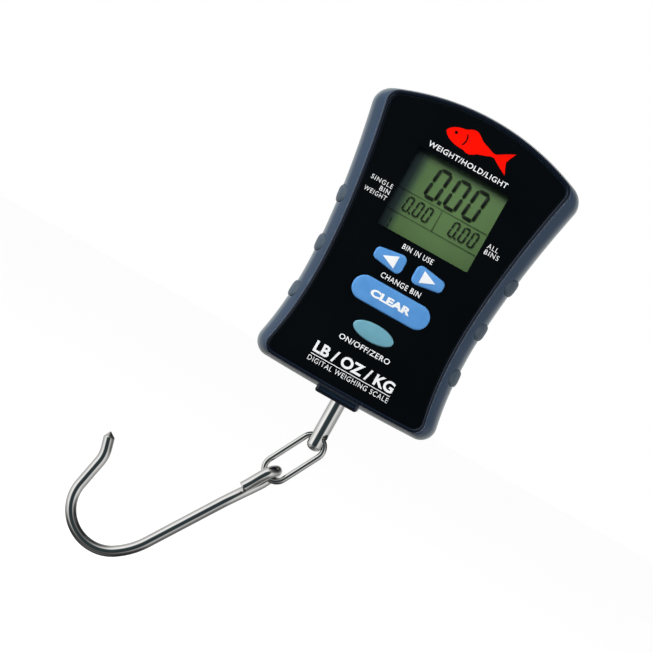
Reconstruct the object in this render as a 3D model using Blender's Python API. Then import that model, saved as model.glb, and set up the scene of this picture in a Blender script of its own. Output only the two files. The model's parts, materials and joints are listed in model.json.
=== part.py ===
"""A hand-held digital fish scale: two-part case, keypad and display, S-shaped load cell,
battery compartment, and a draw rod with its link and hook.

Frame: X to the right of somebody reading the display, Y from the display to the back,
Z up as the scale hangs in use. The origin is on the flat back face, on the plane of
symmetry. Lengths below are millimetres; the meshes are made in metres.
"""

import math
from functools import partial

import bmesh
import bpy
import numpy as np
from mathutils import Vector

MM = 0.001

# ---- shared dimensions, mm ----------------------------------------------------------
CROWN_Z = 58.95         # top of the case
CROWN_R = 96.5          # radius of the crowned top edge
FOOT_Z = -58.93         # bottom of the case
FOOT_R = 900.0          # radius of the slightly bowed bottom edge
WAIST_Z = -22.9         # height of the narrowest grip
WAIST_HALF = 34.6
WALL = 2.2
PART_Y = -14.0          # parting plane of the two shells
PART_GAP = 0.15         # half of the gap between the shells
FRONT_PART_Y = PART_Y - PART_GAP
REAR_PART_Y = PART_Y + PART_GAP
FLOOR_Y = -29.5         # floor of the recess behind the overlay
RIM_Y = -30.6           # crest of the bead around the overlay
FRONT_IN_Y = -27.2      # inner face of the front wall
AHEAD_Y = -32.0         # front end of cutters that pass out through the front
BEHIND_Y = 2.0          # back end of cutters that pass out through the back

WINDOW = (37.9, 32.1)   # display opening, width and height
WINDOW_Z = 20.4

BOARD_FRONT_Y = -21.3
BOARD_BACK_Y = -19.7

# Places in (x, z)
CASE_SCREWS = ((-33.0, 40.0), (33.0, 40.0), (-28.0, -49.1), (28.0, -49.1))
BOARD_SCREWS = ((-25.0, 36.5), (25.0, 36.5), (-24.0, -33.5), (24.0, -33.5))
BRACKET_SCREWS = ((-18.0, -4.0), (18.0, -4.0))

LOAD_X = 0.75           # the line of pull, a little right of the middle
LOAD_Y = -12.5
ROD_R = 3.1
ROD_CLEARANCE = 0.35    # around the rod in its bores
BOLT_BORE_R = 3.3

HINGE_Y = -1.2          # axis of the battery door
HINGE_Z = 16.0

CELL_R = 5.15           # an AAA cell
CELL_Y = -7.6
UPPER_CELL_Z = 35.0
LOWER_CELL_Z = 23.2
LEAD_X = -24.2          # where the battery leads pass through the bay's front wall
NEGATIVE_LEAD_Z = UPPER_CELL_Z + 4.4
POSITIVE_LEAD_Z = LOWER_CELL_Z - 4.2

for old in list(bpy.data.objects):
    bpy.data.objects.remove(old, do_unlink=True)

# ---- materials ----------------------------------------------------------------------
# name: (linear RGB colour, roughness, metallic)
LOOKS = {
    "casing": ((0.018, 0.024, 0.036), 0.38, 0.0),
    "rubber": ((0.02, 0.022, 0.027), 0.7, 0.0),
    "overlay": ((0.003, 0.0035, 0.005), 0.12, 0.0),
    "clear": ((0.75, 0.8, 0.78), 0.05, 0.0),
    "key_blue": ((0.1, 0.3, 0.63), 0.35, 0.0),
    "key_teal": ((0.16, 0.38, 0.45), 0.35, 0.0),
    "steel": ((0.72, 0.72, 0.74), 0.16, 1.0),
    "zinc": ((0.55, 0.56, 0.58), 0.35, 1.0),
    "aluminium": ((0.7, 0.71, 0.73), 0.35, 1.0),
    "lcd_green": ((0.12, 0.2, 0.08), 0.3, 0.0),
    "white_plastic": ((0.75, 0.76, 0.76), 0.4, 0.0),
    "black_plastic": ((0.012, 0.012, 0.013), 0.45, 0.0),
    "board_green": ((0.01, 0.12, 0.04), 0.4, 0.0),
    "amber_film": ((0.45, 0.2, 0.03), 0.35, 0.0),
    "cell_wrap": ((0.05, 0.12, 0.3), 0.3, 0.0),
    "red_wire": ((0.5, 0.02, 0.02), 0.4, 0.0),
    "grey_wire": ((0.3, 0.3, 0.32), 0.45, 0.0),
}


def make_material(name, color, roughness, metallic):
    made = bpy.data.materials.new(name)
    made.use_nodes = True
    shader = made.node_tree.nodes["Principled BSDF"]
    shader.inputs["Base Color"].default_value = (*color, 1.0)
    shader.inputs["Roughness"].default_value = roughness
    shader.inputs["Metallic"].default_value = metallic
    made.diffuse_color = (*color, 1.0)
    return made


MATERIALS = {name: make_material(name, *look) for name, look in LOOKS.items()}

# ---- objects and modifiers ----------------------------------------------------------
ORIGINS = {}    # object name: its origin in the shared frame, mm


def add_object(name, solid, origin=(0.0, 0.0, 0.0)):
    """Turn a bmesh in millimetres of the shared frame into an object with this origin."""
    bmesh.ops.recalc_face_normals(solid, faces=solid.faces)
    shift = Vector(origin)
    for vert in solid.verts:
        vert.co = (vert.co - shift) * MM
    mesh = bpy.data.meshes.new(name)
    solid.to_mesh(mesh)
    solid.free()
    made = bpy.data.objects.new(name, mesh)
    bpy.context.scene.collection.objects.link(made)
    made.location = shift * MM
    ORIGINS[name] = shift
    return made


def add_piece(name, solid, look, origin=(0.0, 0.0, 0.0), smooth=35.0):
    """A visible piece; edges sharper than `smooth` degrees stay sharp."""
    piece = add_object(name, solid, origin)
    piece.data.materials.append(MATERIALS[look])
    piece.data.shade_smooth()
    piece.data.set_sharp_from_angle(angle=math.radians(smooth))
    return piece


def add_helper(name, solid):
    """A hidden tool for boolean modifiers."""
    helper = add_object(name, solid)
    helper.hide_render = True
    helper.display_type = "WIRE"
    return helper


def boolean(piece, tool, operation="DIFFERENCE"):
    step = piece.modifiers.new(tool.name, "BOOLEAN")
    step.object = tool
    step.operation = operation
    step.solver = "EXACT"


def cut(piece, name, solid):
    boolean(piece, add_helper(name, solid))


def join(piece, name, solid):
    boolean(piece, add_helper(name, solid), "UNION")


def carry(child, parent):
    """The child keeps its place and moves with the parent."""
    child.parent = parent
    child.location = (ORIGINS[child.name] - ORIGINS[parent.name]) * MM


# ---- solids -------------------------------------------------------------------------


def loft(rings, solid=None, closed=False):
    """Skin over rings of equal length, capped at both ends unless it closes on itself."""
    solid = solid or bmesh.new()
    rows = [[solid.verts.new(point) for point in ring] for ring in rings]
    count = len(rows[0])
    for row, following in zip(rows, rows[1:] + ([rows[0]] if closed else [])):
        for i in range(count):
            j = (i + 1) % count
            solid.faces.new((row[i], row[j], following[j], following[i]))
    if not closed:
        solid.faces.new(rows[0])
        solid.faces.new(rows[-1])
    return solid


def at_depth(outline, y):
    return [(x, y, z) for x, z in outline]


def prism(outline, front, back, solid=None):
    """An (x, z) outline carried from the front depth to the back depth."""
    return loft([at_depth(outline, front), at_depth(outline, back)], solid)


def eased_prism(outline, front, back, edge):
    """A prism whose front rim is eased by `edge`."""
    return loft([
        at_depth(inset(outline, edge), front),
        at_depth(inset(outline, edge * 0.25), front + edge * 0.6),
        at_depth(outline, front + edge * 1.3),
        at_depth(outline, back),
    ])


def inset(outline, distance):
    """Move each corner of an anticlockwise outline in, equally far from both its sides."""
    moved = []
    count = len(outline)
    for i in range(count):
        before, here, after = (Vector(outline[(i + k) % count]) for k in (-1, 0, 1))
        first = (here - before).normalized()
        second = (after - here).normalized()
        first_left = Vector((-first.y, first.x))
        left = (first_left + Vector((-second.y, second.x))).normalized()
        lean = max(0.3, left.dot(first_left))
        moved.append(tuple(here + left * (distance / lean)))
    return moved


def box(left, right, front, back, bottom, top):
    return prism([(left, bottom), (right, bottom), (right, top), (left, top)], front, back)


def arc(centre_x, centre_z, radius, start, end, steps):
    """(x, z) points from the start angle to the end angle, in degrees."""
    angles = [math.radians(start + (end - start) * i / steps) for i in range(steps + 1)]
    return [(centre_x + radius * math.cos(angle), centre_z + radius * math.sin(angle))
            for angle in angles]


def rounded(width, height, radius, centre_z, steps=3):
    """Anticlockwise rounded rectangle about the plane of symmetry."""
    return rounded_at(0, centre_z, width, height, radius, steps)


def rounded_at(centre_x, centre_z, width, height, radius, steps):
    reach_x, reach_z = width / 2 - radius, height / 2 - radius
    points = []
    for side_x, side_z, start in ((1, -1, -90), (1, 1, 0), (-1, 1, 90), (-1, -1, 180)):
        corner_x = centre_x + side_x * reach_x
        corner_z = centre_z + side_z * reach_z
        points += arc(corner_x, corner_z, radius, start, start + 90, steps)
    return points


def turned(profile, centre, axis="Z", sides=20, solid=None):
    """A turned solid: profile of (radius, height) from one end of the axis to the other."""
    rings = []
    for radius, height in profile:
        ring = []
        for i in range(sides):
            angle = 2 * math.pi * (i + 0.5) / sides
            across, up = radius * math.cos(angle), radius * math.sin(angle)
            offset = {
                "X": (height, across, up),
                "Y": (across, height, up),
                "Z": (across, up, height),
            }[axis]
            ring.append(tuple(c + o for c, o in zip(centre, offset)))
        rings.append(ring)
    return loft(rings, solid)


def turned_y(places, profile, sides=20, solid=None):
    """The same turned solid along Y at each (x, z) place."""
    solid = solid or bmesh.new()
    for x, z in places:
        turned(profile, (x, 0, z), "Y", sides, solid)
    return solid


def cylinders_y(places, radius, front, back, sides=20, solid=None):
    return turned_y(places, [(radius, front), (radius, back)], sides, solid)


def on_pull(profile, sides=20):
    """A solid turned about the line of pull."""
    return turned(profile, (LOAD_X, LOAD_Y, 0), "Z", sides)


def pull_cylinder(radius, bottom, top, sides=20):
    return on_pull([(radius, bottom), (radius, top)], sides)


def on_hinge(radius, half_length, sides, y=HINGE_Y):
    """A cylinder along the axis of the battery door."""
    profile = [(radius, -half_length), (radius, half_length)]
    return turned(profile, (0, y, HINGE_Z), "X", sides)


def swept(points, radii, sides=10, closed=False):
    """Round wire along a path, with frames carried along it without twist."""
    points = [Vector(point) for point in points]
    count = len(points)
    if not hasattr(radii, "__len__"):
        radii = [radii] * count
    tangents = []
    for i in range(count):
        if closed:
            step = points[(i + 1) % count] - points[i - 1]
        else:
            step = points[min(i + 1, count - 1)] - points[max(i - 1, 0)]
        tangents.append(step.normalized())
    start = tangents[0]
    guide = Vector((0, 1, 0)) if abs(start.y) < 0.9 else Vector((0, 0, 1))
    normal = (guide - start * guide.dot(start)).normalized()
    angles = [2 * math.pi * k / sides for k in range(sides)]
    rings = []
    for point, tangent, radius in zip(points, tangents, radii):
        normal = (normal - tangent * normal.dot(tangent)).normalized()
        side = tangent.cross(normal)
        rings.append([
            point + normal * (radius * math.cos(angle)) + side * (radius * math.sin(angle))
            for angle in angles
        ])
    return loft(rings, closed=closed)


def smoothed(points, steps=3):
    """A Catmull-Rom curve through the points."""
    points = [Vector(point) for point in points]
    ends = [points[0] * 2 - points[1]] + points + [points[-1] * 2 - points[-2]]
    path = []
    for i in range(1, len(ends) - 2):
        before, start, end, after = ends[i - 1 : i + 3]
        for k in range(steps):
            t = k / steps
            path.append(0.5 * (
                (2 * start)
                + (end - before) * t
                + (2 * before - 5 * start + 4 * end - after) * t**2
                + (3 * start - before - 3 * end + after) * t**3
            ))
    return path + [points[-1]]


# ---- the outline of the case --------------------------------------------------------
# (y, how far the side surface has curved in there)
SIDE_CURVE = (
    (-29.5, 5.3), (-29.0, 4.7), (-27.0, 3.3), (-24.0, 1.6), (-20.0, 0.4), (-14.0, 0.0),
    (-9.0, 0.3), (-5.0, 0.8), (-2.2, 1.7), (-0.7, 3.0), (0.0, 4.6),
)


def side_inset(y):
    return float(np.interp(y, *zip(*SIDE_CURVE)))


def half_width(z):
    """Half the case's width at a height: a waist, opening upwards and a little downwards."""
    if z >= WAIST_Z:
        return WAIST_HALF + 8.7 * ((z - WAIST_Z) / 67.3) ** 1.7
    return WAIST_HALF + 2.9 * ((WAIST_Z - z) / 29.2) ** 2.2


def side_at(side, z):
    """The x of a side drawn in by this amount, a little less so low down the case."""
    return half_width(z) - side * (0.925 + 0.002 * z)


def corner(side, radius, edge_z, edge_r, low, high):
    """Fit a round corner between the side and an end edge, an arc centred at height edge_z.

    Returns the corner's centre x and z, and the height where it touches the side.
    """

    def centre(z):
        slope = (side_at(side, z + 0.01) - side_at(side, z - 0.01)) / 0.02
        size = math.hypot(1.0, slope)
        return side_at(side, z) - radius / size, z + radius * slope / size

    def overshoot(z):
        centre_x, centre_z = centre(z)
        return math.hypot(centre_x, centre_z - edge_z) - (edge_r - radius)

    falling = overshoot(low) > overshoot(high)
    for _ in range(60):
        middle = (low + high) / 2
        if (overshoot(middle) > 0) != falling:
            high = middle
        else:
            low = middle
    return *centre(low), low


def case_outline(side, top, bottom, top_r, bottom_r):
    """Anticlockwise (x, z) ring of the case from the middle of its foot.

    It is drawn in by side, top and bottom, with these corner radii. Every ring has the
    same count of points.
    """
    crown_z, crown_r = CROWN_Z - CROWN_R, CROWN_R - top
    foot_z, foot_r = FOOT_Z + FOOT_R, FOOT_R - bottom
    top_x, top_z, side_top = corner(side, top_r, crown_z, crown_r, 20.0, 58.0)
    low_x, low_z, side_low = corner(side, bottom_r, foot_z, foot_r, -58.0, -30.0)

    # Angles in degrees where the corners meet the foot, the side and the crown
    foot_end = math.degrees(math.atan2(low_z - foot_z, low_x))
    low_end = math.degrees(math.atan2(side_low - low_z, side_at(side, side_low) - low_x))
    top_start = math.degrees(math.atan2(side_top - top_z, side_at(side, side_top) - top_x))
    crown_start = math.degrees(math.atan2(top_z - crown_z, top_x))

    half = arc(0, foot_z, foot_r, -90, foot_end, 3)
    half += arc(low_x, low_z, bottom_r, foot_end, low_end, 4)[1:]
    for i in range(1, 10):
        z = side_low + (side_top - side_low) * i / 9
        half.append((side_at(side, z), z))
    half += arc(top_x, top_z, top_r, top_start, crown_start, 5)[1:]
    half += arc(0, crown_z, crown_r, crown_start, 90, 5)[1:]
    return half + [(-x, z) for x, z in reversed(half[1:-1])]


# ---- keys, their plungers and switches ----------------------------------------------
ARROW_X = 8.2           # plunger axes of the two arrow keys
ARROW_Z = -5.1
DELETE_Z = -18.8
POWER_Z = -31.9
PLUNGER_ORIGIN_Y = -24.3
KEY_ORIGIN_Y = -28.0
# (x, z from the key's middle height, corner radius), anticlockwise
ARROW_CORNERS = ((2.15, -4.1, 2.2), (14.35, -2.2, 1.9), (14.35, 2.2, 1.9), (2.15, 4.1, 2.2))


def arrow_key(side, grow=0.0):
    """A key wide at its inner end and narrow at its outer end; side is -1 or 1."""
    points = []
    for i, (x, z, radius) in enumerate(ARROW_CORNERS):
        here = Vector((x, z))
        back = (Vector(ARROW_CORNERS[i - 1][:2]) - here).normalized()
        ahead = (Vector(ARROW_CORNERS[(i + 1) % 4][:2]) - here).normalized()
        half = math.acos(back.dot(ahead)) / 2
        centre = here + (back + ahead).normalized() * (radius / math.sin(half))
        start = math.degrees(math.atan2(back.x, -back.y))
        sweep = 180 - 2 * math.degrees(half)
        points += arc(centre.x, centre.y, radius, start, start + sweep, 4)
    if grow:
        points = inset(points, -grow)
    points = [(side * x, ARROW_Z + z) for x, z in points]
    return points if side > 0 else points[::-1]


def delete_key(grow=0.0):
    return rounded(31.6 + 2 * grow, 9.5 + 2 * grow, 4.74 + grow, DELETE_Z, 5)


def power_key(grow=0.0, count=26):
    """An ellipse."""
    half_x, half_z = 8.25 + grow, 3.45 + grow
    angles = [2 * math.pi * i / count for i in range(count)]
    return [(half_x * math.cos(angle), POWER_Z + half_z * math.sin(angle))
            for angle in angles]


# name: (outline function, (x, z) of its plunger, material)
KEYS = {
    "left": (partial(arrow_key, -1), (-ARROW_X, ARROW_Z), "key_blue"),
    "right": (partial(arrow_key, 1), (ARROW_X, ARROW_Z), "key_blue"),
    "delete": (delete_key, (0.0, DELETE_Z), "key_blue"),
    "power": (power_key, (0.0, POWER_Z), "key_teal"),
}


def key_holes(clearance, back):
    holes = bmesh.new()
    for shape, _, _ in KEYS.values():
        prism(shape(clearance), AHEAD_Y, back, holes)
    return holes


def build_key(key, shape, place, look):
    x, z = place
    cap = eased_prism(shape(), -30.8, -26.4, edge=0.5)
    body = add_piece(f"key_{key}", cap, look, (x, KEY_ORIGIN_Y, z), smooth=40)
    join(body, f"add_flange_{key}", prism(shape(0.9), -26.9, -26.0))
    join(body, f"add_stem_{key}", cylinders_y([place], 1.9, -26.4, -25.5, 14))

    rod = cylinders_y([place], 1.45, -25.35, -23.3, 14)
    plunger_origin = (x, PLUNGER_ORIGIN_Y, z)
    plunger = add_piece(f"switch_plunger_{key}", rod, "black_plastic", plunger_origin)
    carry(plunger, body)

    half = 3
    housing = box(x - half, x + half, -24.7, BOARD_FRONT_Y - 0.1, z - half, z + half)
    switch = add_piece(f"switch_{key}", housing, "black_plastic")
    cut(switch, f"cut_switch_{key}", cylinders_y([place], 1.75, -26, -22.5, 14))


# ---- grip pads ----------------------------------------------------------------------
PAD_Z = (7.6, -12.0, -31.5)
PAD_HALF = 3.35         # half the height of a pad
PAD_PROUD = 0.9
POCKET_CLEARANCE = 0.25
PAD_DEPTH = 1.0         # how far a pad reaches in under the side surface
# (y, half height, how far it stands out from the side), front to back
PAD_STATIONS = (
    (-26.7, 1.0, 0.0), (-26.1, 2.3, 0.5), (-24.4, 3.15, 0.84), (-20.0, PAD_HALF, PAD_PROUD),
    (-9.0, PAD_HALF, PAD_PROUD), (-5.4, 3.15, 0.8), (-3.7, 1.8, 0.3),
)


def pad_section(sign, middle_z, y, half, corners):
    """A ring at depth y; corners are (distance out from the side, share of half height)."""
    return [
        (sign * (side_at(side_inset(y), middle_z + half * share) + out), y,
         middle_z + half * share)
        for out, share in corners
    ]


def grip_pad(sign, middle_z):
    """A rubber bar wrapped over the side of the case from the front edge to the back."""
    sections = []
    for y, half, proud in PAD_STATIONS:
        shoulder = max(proud - 0.55, -0.3)
        corners = ((-PAD_DEPTH, 1.0), (shoulder, 1.0), (proud, 0.6),
                   (proud, -0.6), (shoulder, -1.0), (-PAD_DEPTH, -1.0))
        sections.append(pad_section(sign, middle_z, y, half, corners))
    return loft(sections)


def pad_pocket(sign, middle_z):
    """The pad's recess, left open well outside the case."""
    floor, outside = -PAD_DEPTH - POCKET_CLEARANCE, 2.2
    corners = ((floor, 1.0), (outside, 1.0), (outside, 0.5),
               (outside, -0.5), (outside, -1.0), (floor, -1.0))
    depths = [y for y, _, _ in PAD_STATIONS]
    depths[0] -= POCKET_CLEARANCE
    depths[-1] += POCKET_CLEARANCE
    return loft([
        pad_section(sign, middle_z, y, half + POCKET_CLEARANCE, corners)
        for y, (_, half, _) in zip(depths, PAD_STATIONS)
    ])


def build_grip_pads():
    """Make the pads and return the cutters of their pockets."""
    pockets = []
    for side, sign in (("left", -1), ("right", 1)):
        for i, z in enumerate(PAD_Z, 1):
            add_piece(f"grip_pad_{side}_{i}", grip_pad(sign, z), "rubber", smooth=40)
            pockets.append(add_helper(f"cut_pad_{side}_{i}", pad_pocket(sign, z)))
    return pockets


# ---- boss under the case, half on each shell ----------------------------------------
# (x, z) down the left side, along the foot and up the right side
BOSS = (
    (-9.0, -57.2), (-8.95, -59.6), (-8.7, -60.25), (-8.1, -60.7),
    (7.7, -60.7), (8.2, -60.25), (8.45, -59.6), (8.55, -57.2),
)


def boss(stations):
    """Loft the boss through (y, how far its foot and sides are drawn in) stations."""
    return loft([
        [(x * (1 - drawn / 9), y, z if z > -58 else z + drawn) for x, z in BOSS]
        for y, drawn in stations
    ])


# ---- front case ---------------------------------------------------------------------
# (y, drawn in at side, top and bottom, top and bottom corner radii): from the recess
# floor over the bead, back along the outside to the parting plane, and in to the front wall
FRONT_STATIONS = (
    (FLOOR_Y, 6.95, 2.65, 3.05, 3.6, 2.9),
    (-30.35, 6.75, 2.45, 2.85, 3.8, 3.1),
    (RIM_Y, 6.1, 1.8, 2.25, 4.2, 3.5),
    (-30.3, 5.55, 1.25, 1.75, 4.6, 3.9),
    (-29.5, 5.3, 1.0, 1.5, 4.8, 4.2),
    (-29.0, 4.7, 0.9, 1.35, 5.0, 4.4),
    (-27.0, 3.3, 0.62, 0.95, 5.7, 4.9),
    (-24.0, 1.6, 0.3, 0.5, 6.4, 5.5),
    (-20.0, 0.4, 0.08, 0.14, 6.85, 5.9),
    (FRONT_PART_Y, 0.0, 0.0, 0.0, 7.0, 6.0),
    (FRONT_PART_Y, WALL, WALL, WALL, 5.0, 3.5),
    (-21.0, 2.9, 2.4, 2.5, 4.7, 3.3),
    (FRONT_IN_Y, 5.6, 3.2, 3.4, 3.5, 2.8),
)
CASE_BORE_R = 1.75      # around the case screws, in both shells


def build_front_case(collar_way, pockets):
    shell = loft([at_depth(case_outline(*drawn), y) for y, *drawn in FRONT_STATIONS])
    case = add_piece("front_case", shell, "casing", smooth=30)

    # Screw pillars, and the posts that hold the circuit board
    root_y = FRONT_IN_Y - 0.6
    pillars = cylinders_y(CASE_SCREWS, 3.3, root_y, PART_Y - 0.3, 16)
    cylinders_y(BOARD_SCREWS, 2.1, root_y, BOARD_FRONT_Y - 0.3, 12, pillars)
    join(case, "add_pillars", pillars)

    # Display opening, with a step behind it for the clear pane
    width, height = WINDOW
    opening = rounded(width + 0.5, height + 0.5, 0.9, WINDOW_Z)
    cut(case, "cut_window", prism(opening, AHEAD_Y, -25))
    cut(case, "cut_window_step", prism(rounded(43.2, 37.2, 1.2, WINDOW_Z), -28.5, -25))
    cut(case, "cut_key_holes", key_holes(0.28, -25))

    pilots = cylinders_y(CASE_SCREWS, CASE_BORE_R, -24.5, -13, 12)
    cylinders_y(BOARD_SCREWS, 1.1, -26.2, -20, 10, pilots)
    cut(case, "cut_pilots", pilots)

    stations = ((-26.4, 1.0), (-26.0, 0.35), (-25.2, 0.0), (FRONT_PART_Y, 0.0))
    join(case, "add_boss_front", boss(stations))
    for tool in (collar_way, *pockets):
        boolean(case, tool)


# ---- rear case ----------------------------------------------------------------------
# (y, drawn in all round, top and bottom corner radii): from the back face forward along
# the outside to the parting plane, and in to the back wall
REAR_STATIONS = (
    (0.0, 4.6, 5.0, 4.0),
    (-0.7, 3.0, 5.6, 4.4),
    (-2.2, 1.7, 6.2, 4.9),
    (-5.0, 0.8, 6.7, 5.6),
    (-9.0, 0.3, 6.9, 5.9),
    (REAR_PART_Y, 0.0, 7.0, 6.0),
    (REAR_PART_Y, WALL, 5.0, 3.5),
    (-5.0, 3.3, 4.6, 3.4),
    (-2.2, 5.2, 3.8, 3.0),
)
BAY_HALF = 25.6         # battery bay
BAY_BOTTOM = 17.3
BAY_TOP = 41.1
BAY_WALL = 1.3
SEAT_HALF = 28.0        # half width of the door's seat
SCREW_BORE = ((CASE_BORE_R, -16), (CASE_BORE_R, -7.9), (3.0, -7.9), (3.0, BEHIND_Y))


def build_rear_case(collar_way, pockets):
    shell = loft([
        at_depth(case_outline(drawn, drawn, drawn, top_r, bottom_r), y)
        for y, drawn, top_r, bottom_r in REAR_STATIONS
    ])
    case = add_piece("rear_case", shell, "casing", smooth=30)

    bay_out = BAY_HALF + BAY_WALL
    bay_block = box(-bay_out, bay_out, -14.6, -1.2, BAY_BOTTOM - BAY_WALL, BAY_TOP + BAY_WALL)
    join(case, "add_bay", bay_block)
    join(case, "add_door_frame", box(-29.6, 29.6, -3.6, -1.0, 14.0, 45.8))
    posts = cylinders_y(CASE_SCREWS, 4.2, REAR_PART_Y, -1.2, 20)
    cylinders_y(BRACKET_SCREWS, 2.8, -5.2, -1.4, 14, posts)
    join(case, "add_posts", posts)

    cut(case, "cut_bay", box(-BAY_HALF, BAY_HALF, -13.3, BEHIND_Y, BAY_BOTTOM, BAY_TOP))
    cut(case, "cut_door_seat", box(-SEAT_HALF, SEAT_HALF, -1.7, BEHIND_Y, 15.0, 43.6))
    cut(case, "cut_latch", box(-5.4, 5.4, -2.3, BEHIND_Y, 41.5, 45.2))
    cut(case, "cut_hinge", on_hinge(1.5, 20.3, 20))
    # A slot open to the back, just below the hinge axis
    hinge_slot = box(-SEAT_HALF, SEAT_HALF, HINGE_Y, BEHIND_Y, 14.3, 15.6)
    cut(case, "cut_hinge_front", hinge_slot)
    cut(case, "cut_hinge_pins", on_hinge(0.9, 21.8, 14, HINGE_Y - 0.02))

    bores = turned_y(CASE_SCREWS, SCREW_BORE)
    cylinders_y(BRACKET_SCREWS, 1.35, -6.5, -2.3, 12, bores)
    cut(case, "cut_bores", bores)
    lead_places = ((LEAD_X, NEGATIVE_LEAD_Z), (LEAD_X, POSITIVE_LEAD_Z))
    cut(case, "cut_lead_holes", cylinders_y(lead_places, 1.0, -16, -12, 10))

    stations = ((REAR_PART_Y, 0.0), (-5.2, 0.0), (-4.4, 0.35), (-4.0, 1.0))
    join(case, "add_boss_rear", boss(stations))
    for tool in (collar_way, *pockets):
        boolean(case, tool)


# ---- battery door, on its hinge axis ------------------------------------------------
DOOR_FRONT_Y = -1.4
DOOR_BACK_Y = -0.1


def build_battery_door():
    origin = (0.0, HINGE_Y, HINGE_Z)
    door = add_piece("battery_door", on_hinge(1.1, 20.0, 20), "casing", origin, smooth=30)
    leaf = rounded(55.4, 26.9, 1.2, HINGE_Z + 13.75)
    join(door, "add_leaf", prism(leaf, DOOR_FRONT_Y, DOOR_BACK_Y))
    foot = box(-19.9, 19.9, DOOR_FRONT_Y, DOOR_BACK_Y, HINGE_Z, HINGE_Z + 2)
    join(door, "add_leaf_foot", foot)
    join(door, "add_hinge_pins", on_hinge(0.6, 21.4, 12))
    join(door, "add_latch", box(-4.8, 4.8, -2.0, DOOR_BACK_Y, 42.6, 44.6))
    for i, z in enumerate((38.6, 40.2, 41.8)):
        cut(door, f"cut_grip_{i}", box(-7, 7, -0.55, 1, z - 0.35, z + 0.35))


# ---- gasket -------------------------------------------------------------------------
GASKET_INSET = 3.15
GASKET_END_X = 11.0


def build_gasket():
    """An open U of cord between the shells, ending each side of the collar."""
    around = case_outline(GASKET_INSET, GASKET_INSET, GASKET_INSET, 4.4, 3.0)
    end_z = around[1][1]
    path = [(x, z) for x, z in around if abs(x) > GASKET_END_X or z > 0]
    path = [(GASKET_END_X, end_z), *path, (-GASKET_END_X, end_z)]
    add_piece("case_gasket", swept(at_depth(path, PART_Y), 0.62, 4), "rubber")


# ---- screws -------------------------------------------------------------------------


def screw(name, place, seat_y, tip_y, head_r, head_h, shank_r, toward=1, sides=8):
    """A pan-head screw along Y with a cross recess; toward is +1 when the head faces +Y."""
    profile = [
        (shank_r * 0.45, tip_y),
        (shank_r, tip_y + toward * shank_r),
        (shank_r, seat_y),
        (head_r, seat_y),
        (head_r, seat_y + toward * head_h * 0.55),
        (head_r * 0.72, seat_y + toward * head_h),
    ]
    made = add_piece(name, turned_y([place], profile, sides), "steel")
    slot, reach = head_r * 0.16, head_r * 0.55
    floor = seat_y + toward * head_h * 0.35
    mouth = seat_y + toward * (head_h + 1)
    cross = [
        (-slot, -reach), (slot, -reach), (slot, -slot), (reach, -slot),
        (reach, slot), (slot, slot), (slot, reach), (-slot, reach),
        (-slot, slot), (-reach, slot), (-reach, -slot), (-slot, -slot),
    ]
    cross = [(place[0] + x, place[1] + z) for x, z in cross]
    cut(made, f"cut_{name}", prism(cross, min(floor, mouth), max(floor, mouth)))


def build_screws():
    for i, place in enumerate(CASE_SCREWS, 1):
        screw(f"case_screw_{i}", place, seat_y=-7.6, tip_y=-22.5,
              head_r=2.7, head_h=2.0, shank_r=1.45, sides=12)
    for i, place in enumerate(BOARD_SCREWS, 1):
        screw(f"board_screw_{i}", place, seat_y=BOARD_BACK_Y + 0.15, tip_y=-25.6,
              head_r=1.9, head_h=1.3, shank_r=0.9)
    for side, place in zip(("left", "right"), BRACKET_SCREWS):
        screw(f"bracket_screw_{side}", place, seat_y=-7.3, tip_y=-2.7,
              head_r=2.4, head_h=1.7, shank_r=1.1, toward=-1)


# ---- rod collar ---------------------------------------------------------------------


def build_rod_collar():
    """A bush held by both shells, in the boss below the case."""
    bush = box(-7.3, 7.3, -18.7, -6.3, -60.5, -54.2)
    collar = add_piece("rod_collar", bush, "black_plastic")
    join(collar, "add_collar_flange", box(-9.4, 9.4, -20.2, -6.0, -54.7, -53.3))
    cut(collar, "cut_rod_bore", pull_cylinder(ROD_R + ROD_CLEARANCE, -63, -52, 24))


# ---- overlay and display ------------------------------------------------------------


def build_overlay():
    sheet = prism(case_outline(7.2, 2.9, 3.3, 3.4, 2.7), -30.1, -29.6)
    overlay = add_piece("face_overlay", sheet, "overlay")
    opening = prism(rounded(*WINDOW, 0.6, WINDOW_Z), AHEAD_Y, -28)
    cut(overlay, "cut_overlay_window", opening)
    cut(overlay, "cut_overlay_keys", key_holes(0.22, -28))


def build_display():
    pane = prism(rounded(42.6, 36.6, 1.0, WINDOW_Z), -28.4, -27.4)
    add_piece("lcd_window", pane, "clear")
    panel = prism(rounded(45.0, 37.4, 0.3, WINDOW_Z), -27.05, -24.85)
    add_piece("lcd_panel", panel, "lcd_green")
    # The backlight and the connector share their depth behind the panel
    front, back = -24.55, -21.6
    add_piece("lcd_backlight", box(-22.0, 22.0, front, back, 5.0, 38.6), "white_plastic")
    add_piece("lcd_connector", box(-18.0, 18.0, front, back, 2.1, 4.4), "rubber")


# ---- circuit board ------------------------------------------------------------------
BOARD_OUTLINE = ((-27, -37), (27, -37), (27, 32.0), (27, 41), (-27, 41))    # (x, z)


def build_circuit_board():
    sheet = prism(BOARD_OUTLINE, BOARD_FRONT_Y, BOARD_BACK_Y)
    board = add_piece("circuit_board", sheet, "board_green")
    cut(board, "cut_board_holes", cylinders_y(BOARD_SCREWS, 1.2, -23, -18, 12))
    chip = rounded_at(19.0, -18.0, 10, 10, 0.8, 2)
    add_piece("main_chip", prism(chip, BOARD_BACK_Y + 0.15, -18.0), "black_plastic")


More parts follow.
